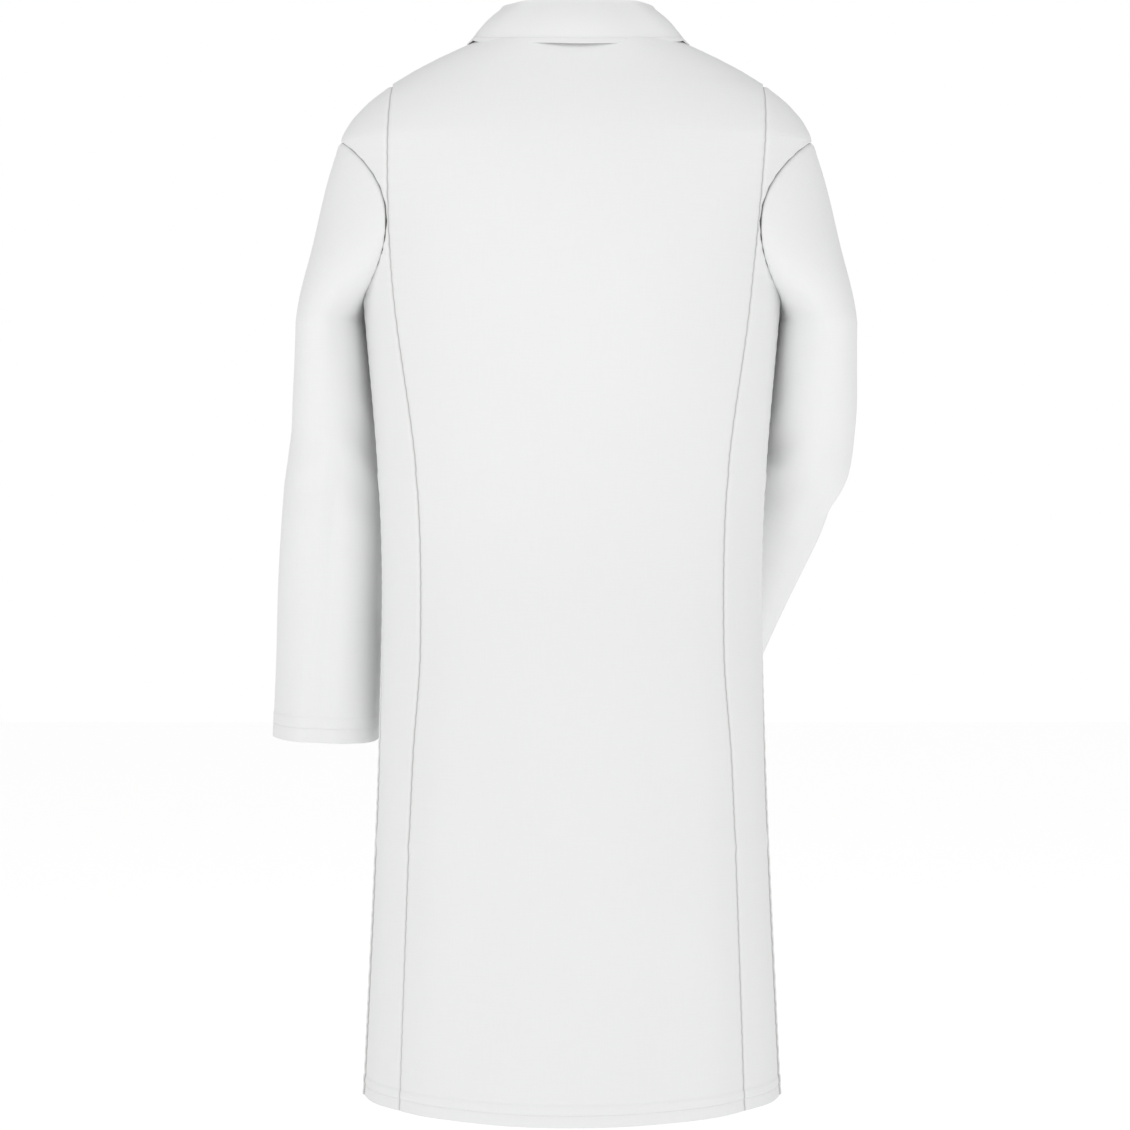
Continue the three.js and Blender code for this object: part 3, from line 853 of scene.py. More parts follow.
@dataclass(frozen=True)
class ThreadFinish:
    """Twisted sewing thread."""

    name: str = "Sewing thread"
    colour: tuple[float, float, float] = (0.80, 0.80, 0.79)
    shaded_share: float = 0.93  # of the colour, between the twisted strands
    roughness: float = 0.55

    def build(self) -> bpy.types.Material:
        """Builds the thread's material.

        Returns:
            The material.
        """
        material, make, shader = start_material(self.name)
        shader.inputs["Sheen Weight"].default_value = 0.2
        place = make.add("ShaderNodeTexCoord")
        twist = make.add("ShaderNodeTexWave")
        twist.inputs["Scale"].default_value = 900.0
        twist.inputs["Distortion"].default_value = 1.5
        make.link(place.outputs["Object"], twist.inputs["Vector"])
        shaded = [self.shaded_share * c for c in self.colour]
        make.link(add_tint(make, shaded, self.colour, twist.outputs["Fac"]), shader.inputs["Base Color"])
        make.link(make.math("ADD", make.math("MULTIPLY", twist.outputs["Fac"], 0.1), self.roughness),
                  shader.inputs["Roughness"])
        lift = make.add("ShaderNodeBump")
        lift.inputs["Distance"].default_value = 0.05 * MM
        make.link(twist.outputs["Fac"], lift.inputs["Height"])
        make.link(lift.outputs["Normal"], shader.inputs["Normal"])
        return material


@dataclass(frozen=True)
class PearlFinish:
    """Pearly white button plastic, with soft clouds in it."""

    name: str = "Pearl button"
    light: tuple[float, float, float] = (0.84, 0.83, 0.80)
    dark: tuple[float, float, float] = (0.70, 0.69, 0.67)
    roughness: float = 0.22

    def build(self) -> bpy.types.Material:
        """Builds the button's material.

        Returns:
            The material.
        """
        material, make, shader = start_material(self.name)
        shader.inputs["Coat Weight"].default_value = 0.35
        shader.inputs["Coat Roughness"].default_value = 0.12
        place = make.add("ShaderNodeTexCoord")
        clouds = make.add("ShaderNodeTexNoise")
        clouds.inputs["Scale"].default_value = 160.0
        clouds.inputs["Distortion"].default_value = 1.6
        make.link(place.outputs["Object"], clouds.inputs["Vector"])
        make.link(add_tint(make, self.dark, self.light, clouds.outputs["Fac"]), shader.inputs["Base Color"])
        cloudy = make.math("MULTIPLY", clouds.outputs["Fac"], 0.12)
        make.link(make.math("ADD", cloudy, self.roughness - 0.06), shader.inputs["Roughness"])
        return material


class Finishes:
    """Every material that the coat uses, by record slot."""

    def __init__(self) -> None:
        """Builds the shared weave and the materials."""
        weave = weave_group()
        self.thread = ThreadFinish().build()
        self.by_slot: dict[Slot, bpy.types.Material] = {
            Slot.COAT: PoplinFinish("Coat poplin").build(weave),
            Slot.COLLAR: PoplinFinish("Collar poplin", light=(0.85, 0.858, 0.855),
                                      crease_depth=0.35 * MM).build(weave),
            Slot.POCKET: PoplinFinish("Pocket poplin", crease_depth=0.45 * MM).build(weave),
            Slot.FACING: PoplinFinish("Facing poplin", light=(0.84, 0.845, 0.84),
                                      roughness=0.86).build(weave),
            Slot.BUTTON: PearlFinish().build(),
        }


# ---- Stitching ----
def stitch_group() -> bpy.types.NodeTree:
    """Geometry nodes: one small thread loop at every step along each line.

    Returns:
        The node group.
    """
    tree = bpy.data.node_groups.new("Stitches", "GeometryNodeTree")
    face = tree.interface
    face.new_socket("Lines", in_out="INPUT", socket_type="NodeSocketGeometry")
    face.new_socket("Pitch", in_out="INPUT", socket_type="NodeSocketFloat")
    face.new_socket("Length", in_out="INPUT", socket_type="NodeSocketFloat")
    face.new_socket("Width", in_out="INPUT", socket_type="NodeSocketFloat")
    face.new_socket("Thread", in_out="INPUT", socket_type="NodeSocketMaterial")
    face.new_socket("Stitches", in_out="OUTPUT", socket_type="NodeSocketGeometry")
    make = Nodes(tree)
    source = make.add("NodeGroupInput")
    sink = make.add("NodeGroupOutput")
    curve = make.add("GeometryNodeMeshToCurve")
    make.link(source.outputs["Lines"], curve.inputs[0])
    steps = make.add("GeometryNodeResampleCurve", mode="LENGTH")
    make.link(curve.outputs[0], steps.inputs["Curve"])
    make.link(source.outputs["Pitch"], steps.inputs["Length"])
    tangent = make.add("GeometryNodeInputTangent")
    turn = make.add("FunctionNodeAlignRotationToVector", axis="X")
    make.link(tangent.outputs[0], turn.inputs["Vector"])
    loop = make.add("GeometryNodeMeshIcoSphere")
    loop.inputs["Radius"].default_value = 0.5
    loop.inputs["Subdivisions"].default_value = 1
    size = make.add("ShaderNodeCombineXYZ")
    make.link(source.outputs["Length"], size.inputs[0])
    make.link(source.outputs["Width"], size.inputs[1])
    make.link(source.outputs["Width"], size.inputs[2])
    place = make.add("GeometryNodeInstanceOnPoints")
    make.link(steps.outputs[0], place.inputs["Points"])
    make.link(loop.outputs["Mesh"], place.inputs["Instance"])
    make.link(turn.outputs[0], place.inputs["Rotation"])
    make.link(size.outputs[0], place.inputs["Scale"])
    real = make.add("GeometryNodeRealizeInstances")
    make.link(place.outputs[0], real.inputs[0])
    paint = make.add("GeometryNodeSetMaterial")
    make.link(real.outputs[0], paint.inputs["Geometry"])
    make.link(source.outputs["Thread"], paint.inputs["Material"])
    make.link(paint.outputs[0], sink.inputs[0])
    return tree


@dataclass(frozen=True)
class StitchStyle:
    """Sizes of one kind of stitching."""

    pitch: float = 3.0 * MM
    length: float = 2.3 * MM
    width: float = 0.42 * MM


TOPSTITCH = StitchStyle()
BUTTON_THREAD = StitchStyle(0.35 * MM, 0.7 * MM, 0.45 * MM)
BUTTONHOLE_THREAD = StitchStyle(0.5 * MM, 0.75 * MM, 0.8 * MM)


class Sewing:
    """Makes pieces, gives them their finishes, and sews stitches on them."""

    def __init__(self) -> None:
        """Builds the finishes and the stitch nodes."""
        self.finishes = Finishes()
        self.stitches = stitch_group()
        self.inputs = {item.name: item.identifier for item in self.stitches.interface.items_tree
                       if item.in_out == "INPUT"}

    def finish(self, piece: bpy.types.Object, slot: Slot, hold: Hold, replaces: Sequence[str] = ()) -> None:
        """Gives a piece its slot's material, hides the CAD nodes it replaces, and applies its hold.

        Args:
            piece: the object.
            slot: its material slot.
            hold: how it follows the bodies.
            replaces: the CAD nodes it stands for.
        """
        if not piece.data.materials:
            piece.data.materials.append(self.finishes.by_slot[slot])
        if replaces:
            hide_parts(*replaces)
        hold.apply(piece)
        LOG.info("%s: %d faces", piece.name, len(piece.data.polygons))

    def cloth(self, name: str, grid: Grid, slot: Slot, hold: Hold, replaces: Sequence[str] = (),
              held: str = "hung", lines: Sequence[Array] = (),
              style: StitchStyle = TOPSTITCH) -> bpy.types.Object:
        """Makes a sheet of cloth with the stitches that lie on it.

        Args:
            name: the piece's name.
            grid: its two plies.
            slot: the record's slot for its finish.
            hold: how it follows the bodies.
            replaces: the CAD nodes it stands for.
            lines: runs of points for topstitching.
            style: the stitches' sizes.

        Returns:
            The sheet's object.
        """
        piece = sheet_object(name, grid)
        self.finish(piece, slot, hold, replaces)
        extra = [self.stitch(f"{name}_stitches", lines, slot, hold, style)] if lines else []
        width, length, area = grid.size()
        LOG.info("%s: flat %.3f x %.3f m, %.4f m2", name, width, length, area)
        return piece

    def stitch(self, name: str, lines: Sequence[Array], slot: Slot, hold: Hold,
               style: StitchStyle = TOPSTITCH) -> bpy.types.Object:
        """Makes one piece of stitching along several lines of points.

        Args:
            name: the piece's name.
            lines: the lines, each an array of points.
            slot: its material slot.
            hold: how it follows the bodies.
            style: the size and the step of the stitches.

        Returns:
            The finished object.
        """
        points = np.concatenate(lines)
        starts = np.cumsum([0] + [len(line) for line in lines[:-1]])
        runs = [np.arange(s, s + len(line)) for s, line in zip(starts, lines)]
        edges = np.concatenate([np.stack([run[:-1], run[1:]], axis=1) for run in runs])
        guide_mesh = bpy.data.meshes.new(f"{name}_guide")
        guide_mesh.from_pydata(points.tolist(), edges.tolist(), [])
        guide = bpy.data.objects.new(f"{name}_guide", guide_mesh)
        bpy.context.scene.collection.objects.link(guide)
        nodes = guide.modifiers.new("Stitches", "NODES")
        nodes.node_group = self.stitches
        nodes[self.inputs["Pitch"]] = style.pitch
        nodes[self.inputs["Length"]] = style.length
        nodes[self.inputs["Width"]] = style.width
        nodes[self.inputs["Thread"]] = self.finishes.thread
        bpy.context.view_layer.update()
        made = bpy.data.meshes.new_from_object(guide.evaluated_get(bpy.context.evaluated_depsgraph_get()))
        made.name = name
        piece = bpy.data.objects.new(name, made)
        bpy.context.scene.collection.objects.link(piece)
        bpy.data.objects.remove(guide, do_unlink=True)
        made.polygons.foreach_set("use_smooth", np.ones(len(made.polygons), bool))
        self.finish(piece, slot, hold)
        return piece


def row_line(grid: Grid, row: int, lift: float = STITCH_LIFT) -> Array:
    """Points just off the cloth along one of its rows."""
    line = grid.outer[row] + unit(grid.outer[row] - grid.inner[row]) * lift
    return np.concatenate([line, line[:1]]) if grid.wrap else line


def column_line(grid: Grid, column: int, start: int = 0, stop: Optional[int] = None,
                lift: float = STITCH_LIFT) -> Array:
    """Points just off the cloth along one of its columns."""
    rows = slice(start, stop)
    return grid.outer[rows, column] + unit(grid.outer[rows, column] - grid.inner[rows, column]) * lift


def nearest(values: Array, wanted: float) -> int:
    """Index of the value nearest to the wanted one."""
    return int(np.argmin(np.abs(np.asarray(values) - wanted)))


# ---- The body of the coat ----
HEM_ROWS = tuple(BODY.hem + d * MM for d in (1, 2.5, 5, 8, 9.5, 11, 12.5, 15, 18, 19, 20, 21, 22.5))
HEM_STITCH = 11 * MM


def body_panel(columns: Array, levels: Array, left_edge: Callable, right_edge: Callable,
               left_seam: bool = True, right_seam: bool = True, stand: object = CLOTH_STAND,
               soft_folds: bool = True, dip: Optional[Callable] = None, hem: bool = True) -> Grid:
    """A panel of cloth on the body form.

    Args:
        columns: shares across the panel.
        levels: heights of its rows.
        left_edge: angle of its first edge at a height.
        right_edge: angle of its second edge at a height.
        left_seam: whether the first edge is sewn.
        right_seam: whether the second edge is sewn.
        stand: how far the cloth's middle lies off the form, or a function of share and height.
        soft_folds: whether the sewn edges carry the soft fold of the skirt.
        dip: how far rows sink, as a function of share and height.
        hem: whether the bottom row is the coat's hem.

    Returns:
        The panel's grid.
    """
    u, z = np.meshgrid(columns, levels)
    first, second = left_edge(z), right_edge(z)
    angle = lerp(first, second, u)
    place = z - dip(u, z) if dip else z
    if hem:
        place = place + DRAPE.hem_rise(angle) * (1 - smooth(z, BODY.hem, BODY.hem + 0.10))
    arc = BODY.arc(angle, z)
    relief = DRAPE.height(angle, z)
    shade = np.zeros_like(relief)
    for edge, sewn in ((first, left_seam), (second, right_seam)):
        if sewn:
            gap = np.abs(angle - edge) * arc
            relief = relief + DRAPE.seam(gap, z, soft_folds)
            # Painted shade: a thin dark line along each sewn seam.
            shade = np.maximum(shade, 0.6 * bump(gap, 0.0, 0.75 * MM))
    if hem:
        relief = relief + DRAPE.band(z - BODY.hem)
    rise = stand(u, z) if callable(stand) else np.full_like(relief, stand)
    normal = BODY.normal(angle, place)
    return Grid.from_surface(BODY.point(angle, place), normal, relief + rise, shade=shade)


@dataclass
class BodyPanels:
    """Back, side back and side front panels, which all belong to the torso."""

    sewing: Sewing
    back_width: float = 0.34
    side_width: float = 0.07
    side_front_width: float = 0.20
    neck_dip: float = BODY.neck_rise
    dip_bottom: float = -0.044

    def princess_angle(self, z: Array) -> Array:
        """Angle of the back princess seam."""
        return BODY.back_angle(BODY.princess(-z), z)

    def levels(self, top: float) -> Array:
        """Row heights from the hem to a top, following the armhole and the hem's fold."""
        return rows_between(BODY.hem, top, [*HEM_ROWS, *BODY.armhole_rows])

    def build(self) -> None:
        """Makes the five panels with their hem stitches."""
        gap = SEWN_GAP
        sink = lambda u, z: (self.neck_dip * (1 - np.abs(2 * u - 1) ** 2.5)
                             * smooth(z, self.dip_bottom, BODY.neck_rise))
        back_rows = self.levels(BODY.neck_rise)
        back = body_panel(clustered(self.back_width), back_rows, lambda z: -self.princess_angle(z) + gap,
                          lambda z: self.princess_angle(z) - gap, dip=sink)
        hem_row = nearest(back_rows, BODY.hem + HEM_STITCH)
        self.sewing.cloth("back_cloth", back, Slot.COAT, TORSO, ["back_panel"],
                          lines=[row_line(back, hem_row)])
        rows = self.levels(BODY.meeting(BODY.princess))
        hem_row = nearest(rows, BODY.hem + HEM_STITCH)
        side_back = body_panel(clustered(self.side_width), rows, lambda z: self.princess_angle(z) + gap,
                               lambda z: np.maximum(BODY.side_angles(z)[0], self.princess_angle(z)) - gap)
        rows = self.levels(BODY.meeting(BODY.front_curve))
        side_front = body_panel(clustered(self.side_front_width), rows,
                                lambda z: BODY.side_angles(z)[1] + gap,
                                lambda z: BODY.front_angle(BODY.front_seam_x(z), z) - gap, soft_folds=False)
        for name, panel in (("side_back", side_back), ("side_front", side_front)):
            for side in Side:
                grid = panel if side is Side.RIGHT else panel.mirrored()
                self.sewing.cloth(f"{name}_cloth_{side.word}", grid, Slot.COAT, TORSO,
                                  [f"{name}_panel_{side.word}"], lines=[row_line(grid, hem_row)])


@dataclass
class Fronts:
    """The two fronts, from the shoulder to the hem, with their facings and lapels."""

    sewing: Sewing
    width: float = 0.10
    under_depth: float = 4.1 * MM
    facing_width: float = 0.060
    facing_gap: float = 0.3 * MM
    facing_ply: float = 1.2 * MM
    lapel_width: float = 0.075
    lapel_top: float = -0.048
    notch: float = -0.098
    lapel_foot: float = 0.003
    lapel_curl: float = 1.6 * MM
    lapel_stand: float = 1.4 * MM
    tape_width: float = 0.022
    tape_depth: float = 2.1 * MM
    button_dimple: float = 1.5 * MM
    dimple_reach: float = 0.013

    def edge_x(self, z: Array) -> Array:
        """The front edge from the centre line: the roll line above the break, the overlap below it."""
        return BODY.roll_x(z) - BODY.overlap * smooth(-z, BODY.break_drop, BODY.break_drop + 0.022)

    def tuck(self, u: Array, z: Array) -> Array:
        """How far the under front sinks behind the over front."""
        below = 1 - smooth(z, -BODY.break_drop - 0.01, -BODY.break_drop + 0.06)
        return -self.under_depth * smooth(u, 0.0, 0.35) * below

    def front(self, side: Side) -> tuple[Grid, Array]:
        """One front of the coat.

        Args:
            side: which front.

        Returns:
            The front, and its row heights.
        """
        gap = SEWN_GAP
        top = BODY.neck_rise - 0.002
        rows = rows_between(BODY.hem, top, [*HEM_ROWS, -BODY.break_drop, -BODY.break_drop - 0.022])
        stand = (lambda u, z: CLOTH_STAND + self.tuck(u, z)) if side is Side.LEFT else CLOTH_STAND
        seam = lambda z: BODY.front_angle(np.minimum(BODY.front_seam_x(z), BODY.half_width(z)), z) + gap
        grid = body_panel(clustered(self.width, 4.5 * MM), rows, seam,
                          lambda z: BODY.front_angle(self.edge_x(z), z), right_seam=False, stand=stand,
                          soft_folds=False)
        if side is Side.LEFT:
            return grid.mirrored(), rows
        for number in BUTTON_NUMBERS:
            place = np.array(joint(f"button_{number}_tilt")["pos_m"])
            near = np.linalg.norm((grid.outer - place)[..., [0, 2]], axis=-1)
            depth = self.button_dimple * bump(near, 0.0, self.dimple_reach)
            pull = depth[..., None] * np.array([0.0, 1.0, 0.0])
            grid.outer = grid.outer - pull
            grid.inner = grid.inner - pull
        return grid, rows

    def facing(self, side: Side) -> Grid:
        """The strip of cloth behind a front's edge.

        Args:
            side: which front.

        Returns:
            The strip.
        """
        depth = self.facing_gap + self.facing_ply / 2 + (self.under_depth if side is Side.LEFT else 0.0)
        rows = rows_between(BODY.hem + 0.012, -BODY.break_drop - 0.024, pitch=6 * MM)
        grid = body_panel(clustered(self.facing_width), rows,
                          lambda z: BODY.front_angle(self.facing_width - BODY.overlap, z),
                          lambda z: BODY.front_angle(-BODY.overlap + 0.001, z), left_seam=False,
                          right_seam=False, stand=-depth, hem=False)
        return grid if side is Side.RIGHT else grid.mirrored()

    def seam_tape(self, side: Side) -> Grid:
        """The pressed seam allowance behind the front princess seam.

        Args:
            side: which front.

        Returns:
            The strip.
        """
        rows = rows_between(BODY.hem + 0.024, -0.24, pitch=6 * MM)
        reach = self.tape_width / 2
        grid = body_panel(np.linspace(0, 1, 9), rows,
                          lambda z: BODY.front_angle(BODY.front_seam_x(z) + reach, z),
                          lambda z: BODY.front_angle(BODY.front_seam_x(z) - reach, z), left_seam=False,
                          right_seam=False, stand=-self.tape_depth, hem=False)
        return grid if side is Side.RIGHT else grid.mirrored()

    def lapel(self, side: Side) -> Grid:
        """A lapel, rolled over its fold and lying back on the chest.

        Args:
            side: which lapel.

        Returns:
            The lapel.
        """
        curl = np.linspace(0, 1, 9)
        spread = clustered(self.lapel_width, 4.0 * MM)[1:]
        v = np.linspace(0, 1, 64)[:, None]
        low = lerp(-BODY.break_drop, self.lapel_top, v)
        high = lerp(-BODY.break_drop, self.notch, v)
        width = self.lapel_foot + (self.lapel_width - self.lapel_foot) * v**0.85
        radius = self.lapel_curl
        turn = curl * TURN
        x_curl = BODY.roll_x(low) - 0.2 * MM - radius * np.sin(turn)[None, :]
        stand_curl = self.lapel_stand + radius * (1 - np.cos(turn))[None, :] + 0 * v
        z_curl = low + 0 * x_curl
        z_flat = lerp(low, high, spread[None, :])
        x_flat = BODY.roll_x(z_flat) + width * spread[None, :]
        lift = 1.5 * MM * np.sin(TURN * spread)[None, :] * v + 0.5 * MM * v * spread[None, :]
        stand_flat = self.lapel_stand + 2 * radius + lift
        x = np.concatenate([x_curl, x_flat], axis=1)
        z = np.concatenate([z_curl, z_flat], axis=1)
        stand = np.concatenate([stand_curl, stand_flat], axis=1)
        angle = BODY.front_angle(x, z)
        middle = BODY.on(angle, z, stand)
        across = np.gradient(middle, axis=1)
        along = np.gradient(middle, axis=0)
        grid = Grid.from_surface(middle, unit(np.cross(across, along)) * -1.0, 0.0 * stand, ply=1.0 * MM)
        grid = Grid(grid.outer[:, ::-1], grid.inner[:, ::-1])
        return grid if side is Side.RIGHT else grid.mirrored()

    def build(self) -> None:
        """Makes both sides."""
        for side in Side:
            hold = front_hold(side)
            grid, rows = self.front(side)
            stop = nearest(rows, -BODY.break_drop - 0.03)
            hem_row = nearest(rows, BODY.hem + HEM_STITCH)
            edge = -5 if side is Side.RIGHT else 4
            lines = [row_line(grid, hem_row), column_line(grid, edge, hem_row, stop)]
            self.sewing.cloth(f"front_cloth_{side.word}", grid, Slot.COAT, hold,
                              [f"front_{side.word}", f"chest_front_{side.word}"], lines=lines)
            self.sewing.cloth(f"seam_tape_{side.word}", self.seam_tape(side), Slot.FACING, TORSO)
            self.sewing.cloth(f"facing_cloth_{side.word}", self.facing(side), Slot.FACING, hold,
                              [f"front_facing_{side.word}"])
            lapel = self.lapel(side)
            outer = 4 if side is Side.RIGHT else -5
            self.sewing.cloth(f"lapel_cloth_{side.word}", lapel, Slot.COLLAR, lapel_hold(side),
                              [f"lapel_{side.word}"], held="folded",
                              lines=[column_line(lapel, outer, 3, -3)])


# ---- Sleeves ----
@dataclass(frozen=True)
class Station:
    """A ring of an arm: its centre, half sizes and turn, all in millimetres and degrees."""

    centre: tuple[float, float, float]
    half_out: float
    half_deep: float
    yaw: float


ELBOW_FOLD = {Side.RIGHT: 2.1 * MM, Side.LEFT: 1.3 * MM}
CUFF_ROWS = (26, 25, 24, 23, 21, 18, 15.5, 14.3, 13.2, 12.1, 11, 8, 4, 1.5, 0)  # mm above the cuff's edge


@dataclass
class Sleeve:
    """One sleeve, sewn into its armhole, in an upper and a lower piece."""

    sewing: Sewing
    side: Side
    stations: Sequence[Station]
    columns: int = 132
    join_share: float = 0.93  # of the way from the shoulder ring to the upper one
    cuff_fold: float = 0.024
    turn_length: float = 0.024  # across the armhole, the span of the sleeve's hold from under the arm
    squareness: float = 0.88  # 1 is a round sleeve, less is a flatter one
    bend_half: float = 0.012
    long_fold: float = 1.2 * MM
    sag_depth: float = 3.4 * MM
    diagonal_fold: float = 1.6 * MM
    cuff_wave: float = 1.0 * MM
    head_pull: float = 0.8 * MM

    def __post_init__(self) -> None:
        """Spreads the stations along the arm."""
        self.centres = np.array([s.centre for s in self.stations]) * MM
        steps = np.linalg.norm(np.diff(self.centres, axis=0), axis=1)
        self.along = np.concatenate([[0.0], np.cumsum(steps)])
        self.length = float(self.along[-1])

    def value(self, numbers: Array, s: Array) -> Array:
        """A smooth curve through numbers given at the stations.

        Args:
            numbers: one number, or one point, for each station.
            s: distances from the shoulder ring.

        Returns:
            The value at each distance.
        """
        numbers = np.asarray(numbers, float).reshape(len(self.along), -1)
        slope = station_slopes(self.along, numbers)
        i = np.clip(np.searchsorted(self.along, s, side="right") - 1, 0, len(self.along) - 2)
        span = (self.along[i + 1] - self.along[i])[:, None]
        t = (s[:, None] - self.along[i][:, None]) / span
        return hermite(t, numbers[i], span * slope[i], numbers[i + 1], span * slope[i + 1])

    def rings(self, s: Array, angle: Array) -> Array:
        """Rings of the arm.

        Args:
            s: distances from the shoulder ring.
            angle: angles round the arm.

        Returns:
            A row of points for each distance.
        """
        centre = self.value(self.centres, s)
        ahead = self.value(self.centres, np.minimum(s + MM, self.length))
        behind = self.value(self.centres, np.maximum(s - MM, 0.0))
        down = unit(ahead - behind)
        down = unit(lerp(np.array([0.0, 0.0, -1.0]), down, smooth(s, 0.0, 0.06)[:, None]))
        yaw = np.radians(self.value([q.yaw for q in self.stations], s)[:, 0])
        back = np.stack([self.side.value * np.sin(yaw), -np.cos(yaw), 0 * yaw], axis=-1)
        back = unit(back - down * np.sum(back * down, axis=-1, keepdims=True))
        out = -self.side.value * np.cross(down, back)
        half_out = self.value([q.half_out for q in self.stations], s)[:, 0] * MM
        half_deep = self.value([q.half_deep for q in self.stations], s)[:, 0] * MM
        across = np.sign(np.cos(angle)) * np.abs(np.cos(angle)) ** self.squareness
        deep = np.sign(np.sin(angle)) * np.abs(np.sin(angle)) ** self.squareness
        return (centre[:, None] + out[:, None] * (half_out[:, None] * across)[..., None]
                + back[:, None] * (half_deep[:, None] * deep)[..., None])

    def head(self, angle: Array, inset: float = 0.4 * MM) -> Array:
        """The edge sewn into the armhole.

        Args:
            angle: angles round the arm.
            inset: how far the edge lies inside the armhole.

        Returns:
            The points of the edge.
        """
        z = BODY.armhole_middle + (BODY.armhole_height - inset) * np.cos(angle)
        depth = (BODY.armhole_depth - inset) * np.sin(angle)
        limit = np.where(depth > 0, BODY.back(-z), BODY.front(-z))
        x = BODY.half_width(z) * np.sqrt(1 - (depth / limit) ** 2)
        return np.stack([BODY.sway(z) + self.side.value * (x + 1.2 * MM), -depth, z], axis=-1)

    def cap(self, t: Array, angle: Array) -> Array:
        """The sleeve head, from the armhole down to the first ring.

        Args:
            t: shares of the way, 0 to 1.
            angle: angles round the arm.

        Returns:
            A row of points for each share.
        """
        start = self.head(angle)[None]
        end = self.rings(np.array([0.0]), angle)
        reach = np.linalg.norm(end - start, axis=-1, keepdims=True)
        top = (0.5 + 0.5 * np.cos(angle))[None, :, None]
        out = self.side.value
        slope = np.array([0.36 * out, 0.0, -0.93])
        leave = unit(lerp(np.array([0.12 * out, 0.0, -1.0]), slope, top)) * reach
        lean = (0.13 * out * np.cos(angle))[None, :, None] * np.array([1.0, 0.0, 0.0])
        arrive = (np.array([0.0, 0.0, -1.0]) + lean) * reach
        return hermite(t[:, None, None], start, leave, end, arrive)

    def creases(self, s: Array, angle: Array) -> Array:
        """Soft folds of the sleeve.

        Args:
            s: distances from the shoulder ring, negative in the head.
            angle: angles round the arm.

        Returns:
            The relief, in metres.
        """
        elbow = float(self.along[2])
        s = s[:, None]
        inner = 0.5 + 0.5 * np.cos(angle - 2.6)[None, :]
        turn = angle[None, :]
        wave = np.sin((s - elbow) * 95 + 2.4 * np.sin(turn) + 0.8 * np.sin(3 * turn + 1.0))
        folds = ELBOW_FOLD[self.side] * wave * bump(s, elbow, 0.055) * inner
        long = self.long_fold * np.sin(2 * turn + 0.8 + 6.0 * s) * smooth(s, -0.02, 0.08)
        below = smooth(s, elbow - 0.05, elbow + 0.10)
        sag = -self.sag_depth * bump(turn - 2.05 + 1.6 * (s - elbow), 0.0, 0.20) * below
        diagonal = self.diagonal_fold * np.sin(3 * turn + 22 * s) * bump(s, elbow + 0.05, 0.08)
        cuff = self.cuff_wave * np.sin(5 * turn + 1.0) * smooth(s, self.length - 0.10, self.length)
        pull = self.head_pull * np.sin(4 * turn + 30 * s) * bump(s, -0.02, 0.045)
        if self.side is Side.LEFT:
            long = long + sag
        return folds + long + diagonal + cuff + pull

    def surface(self, s: Array, angle: Array, cap_rows: Array) -> Grid:
        """The cloth over head rows, if any, and then rings.

        Args:
            s: distances of the rings from the shoulder ring.
            angle: angles round the arm.
            cap_rows: shares of the way down the head, if any.

        Returns:
            The sheet.
        """
        parts = [self.cap(cap_rows, angle)] if cap_rows.size else []
        drop = np.concatenate([(cap_rows - 1) * 0.12, s])
        middle = np.concatenate([*parts, self.rings(s, angle)])
        around = np.roll(middle, -1, axis=1) - np.roll(middle, 1, axis=1)
        down = np.gradient(middle, axis=0)
        normal = unit(np.cross(around, down)) * self.side.value
        relief = self.creases(drop, angle)
        shade = np.zeros_like(relief)
        if cap_rows.size:
            near = np.linalg.norm(middle - middle[:1], axis=-1)
            relief = relief * smooth(near, 0.0, 0.03) + DRAPE.seam(near, middle[..., 2], False)
            # Painted shade: a fainter dark line along the armhole seam.
            shade = 0.3 * bump(near, 0.0, 0.75 * MM)
        above_cuff = self.length - np.concatenate([np.full(cap_rows.size, -0.1), s])
        relief = relief + DRAPE.band(above_cuff[:, None], self.cuff_fold)
        grid = Grid.from_surface(middle, normal, relief, wrap=True, shade=shade)
        if self.side is Side.LEFT:
            grid = Grid(grid.outer[:, ::-1], grid.inner[:, ::-1], True, shade[:, ::-1])
        return grid

    def build(self) -> None:
        """Makes the upper and the lower piece."""
        word = self.side.word
        angle = np.linspace(0, 2 * TURN, self.columns, endpoint=False)
        join = float(self.along[1]) * self.join_share
        head_steps = np.array([0, 0.006, 0.012, 0.02, 0.032, 0.05, 0.075])
        cap_rows = np.concatenate([head_steps, np.linspace(0.1, 0.97, 26)])
        cuff = self.length - np.array(CUFF_ROWS) * MM
        steps = np.concatenate([np.arange(0.0, self.length - 0.028, 4 * MM), cuff])
        whole = self.surface(steps, angle, cap_rows)
        cut = cap_rows.size + nearest(steps, join)
        upper, lower = whole.rows(0, cut + 1), whole.rows(cut)
        out = np.array([0.94 * self.side.value, 0.0, -0.34])
        under = np.array([self.side.value * 0.2015, 0.0, BODY.armhole_middle - BODY.armhole_height])
        hold = Hold("torso", f"sleeve_{word}", tuple(under), tuple(under + out * self.turn_length))
        self.sewing.cloth(f"sleeve_upper_cloth_{word}", upper, Slot.COAT, hold, [f"sleeve_upper_{word}"])
        elbow, fore = self.centres[1], self.centres[3]
        ahead = unit(fore - elbow)
        shift = ahead * self.bend_half
        bend = Hold(f"sleeve_{word}", f"forearm_{word}", tuple(elbow + shift), tuple(fore + shift))
        stitch = nearest(steps, self.length - 13.2 * MM) + cap_rows.size - cut
        self.sewing.cloth(f"sleeve_lower_cloth_{word}", lower, Slot.COAT, bend,
                          [f"sleeve_elbow_{word}", f"sleeve_fore_{word}"], lines=[row_line(lower, stitch)])


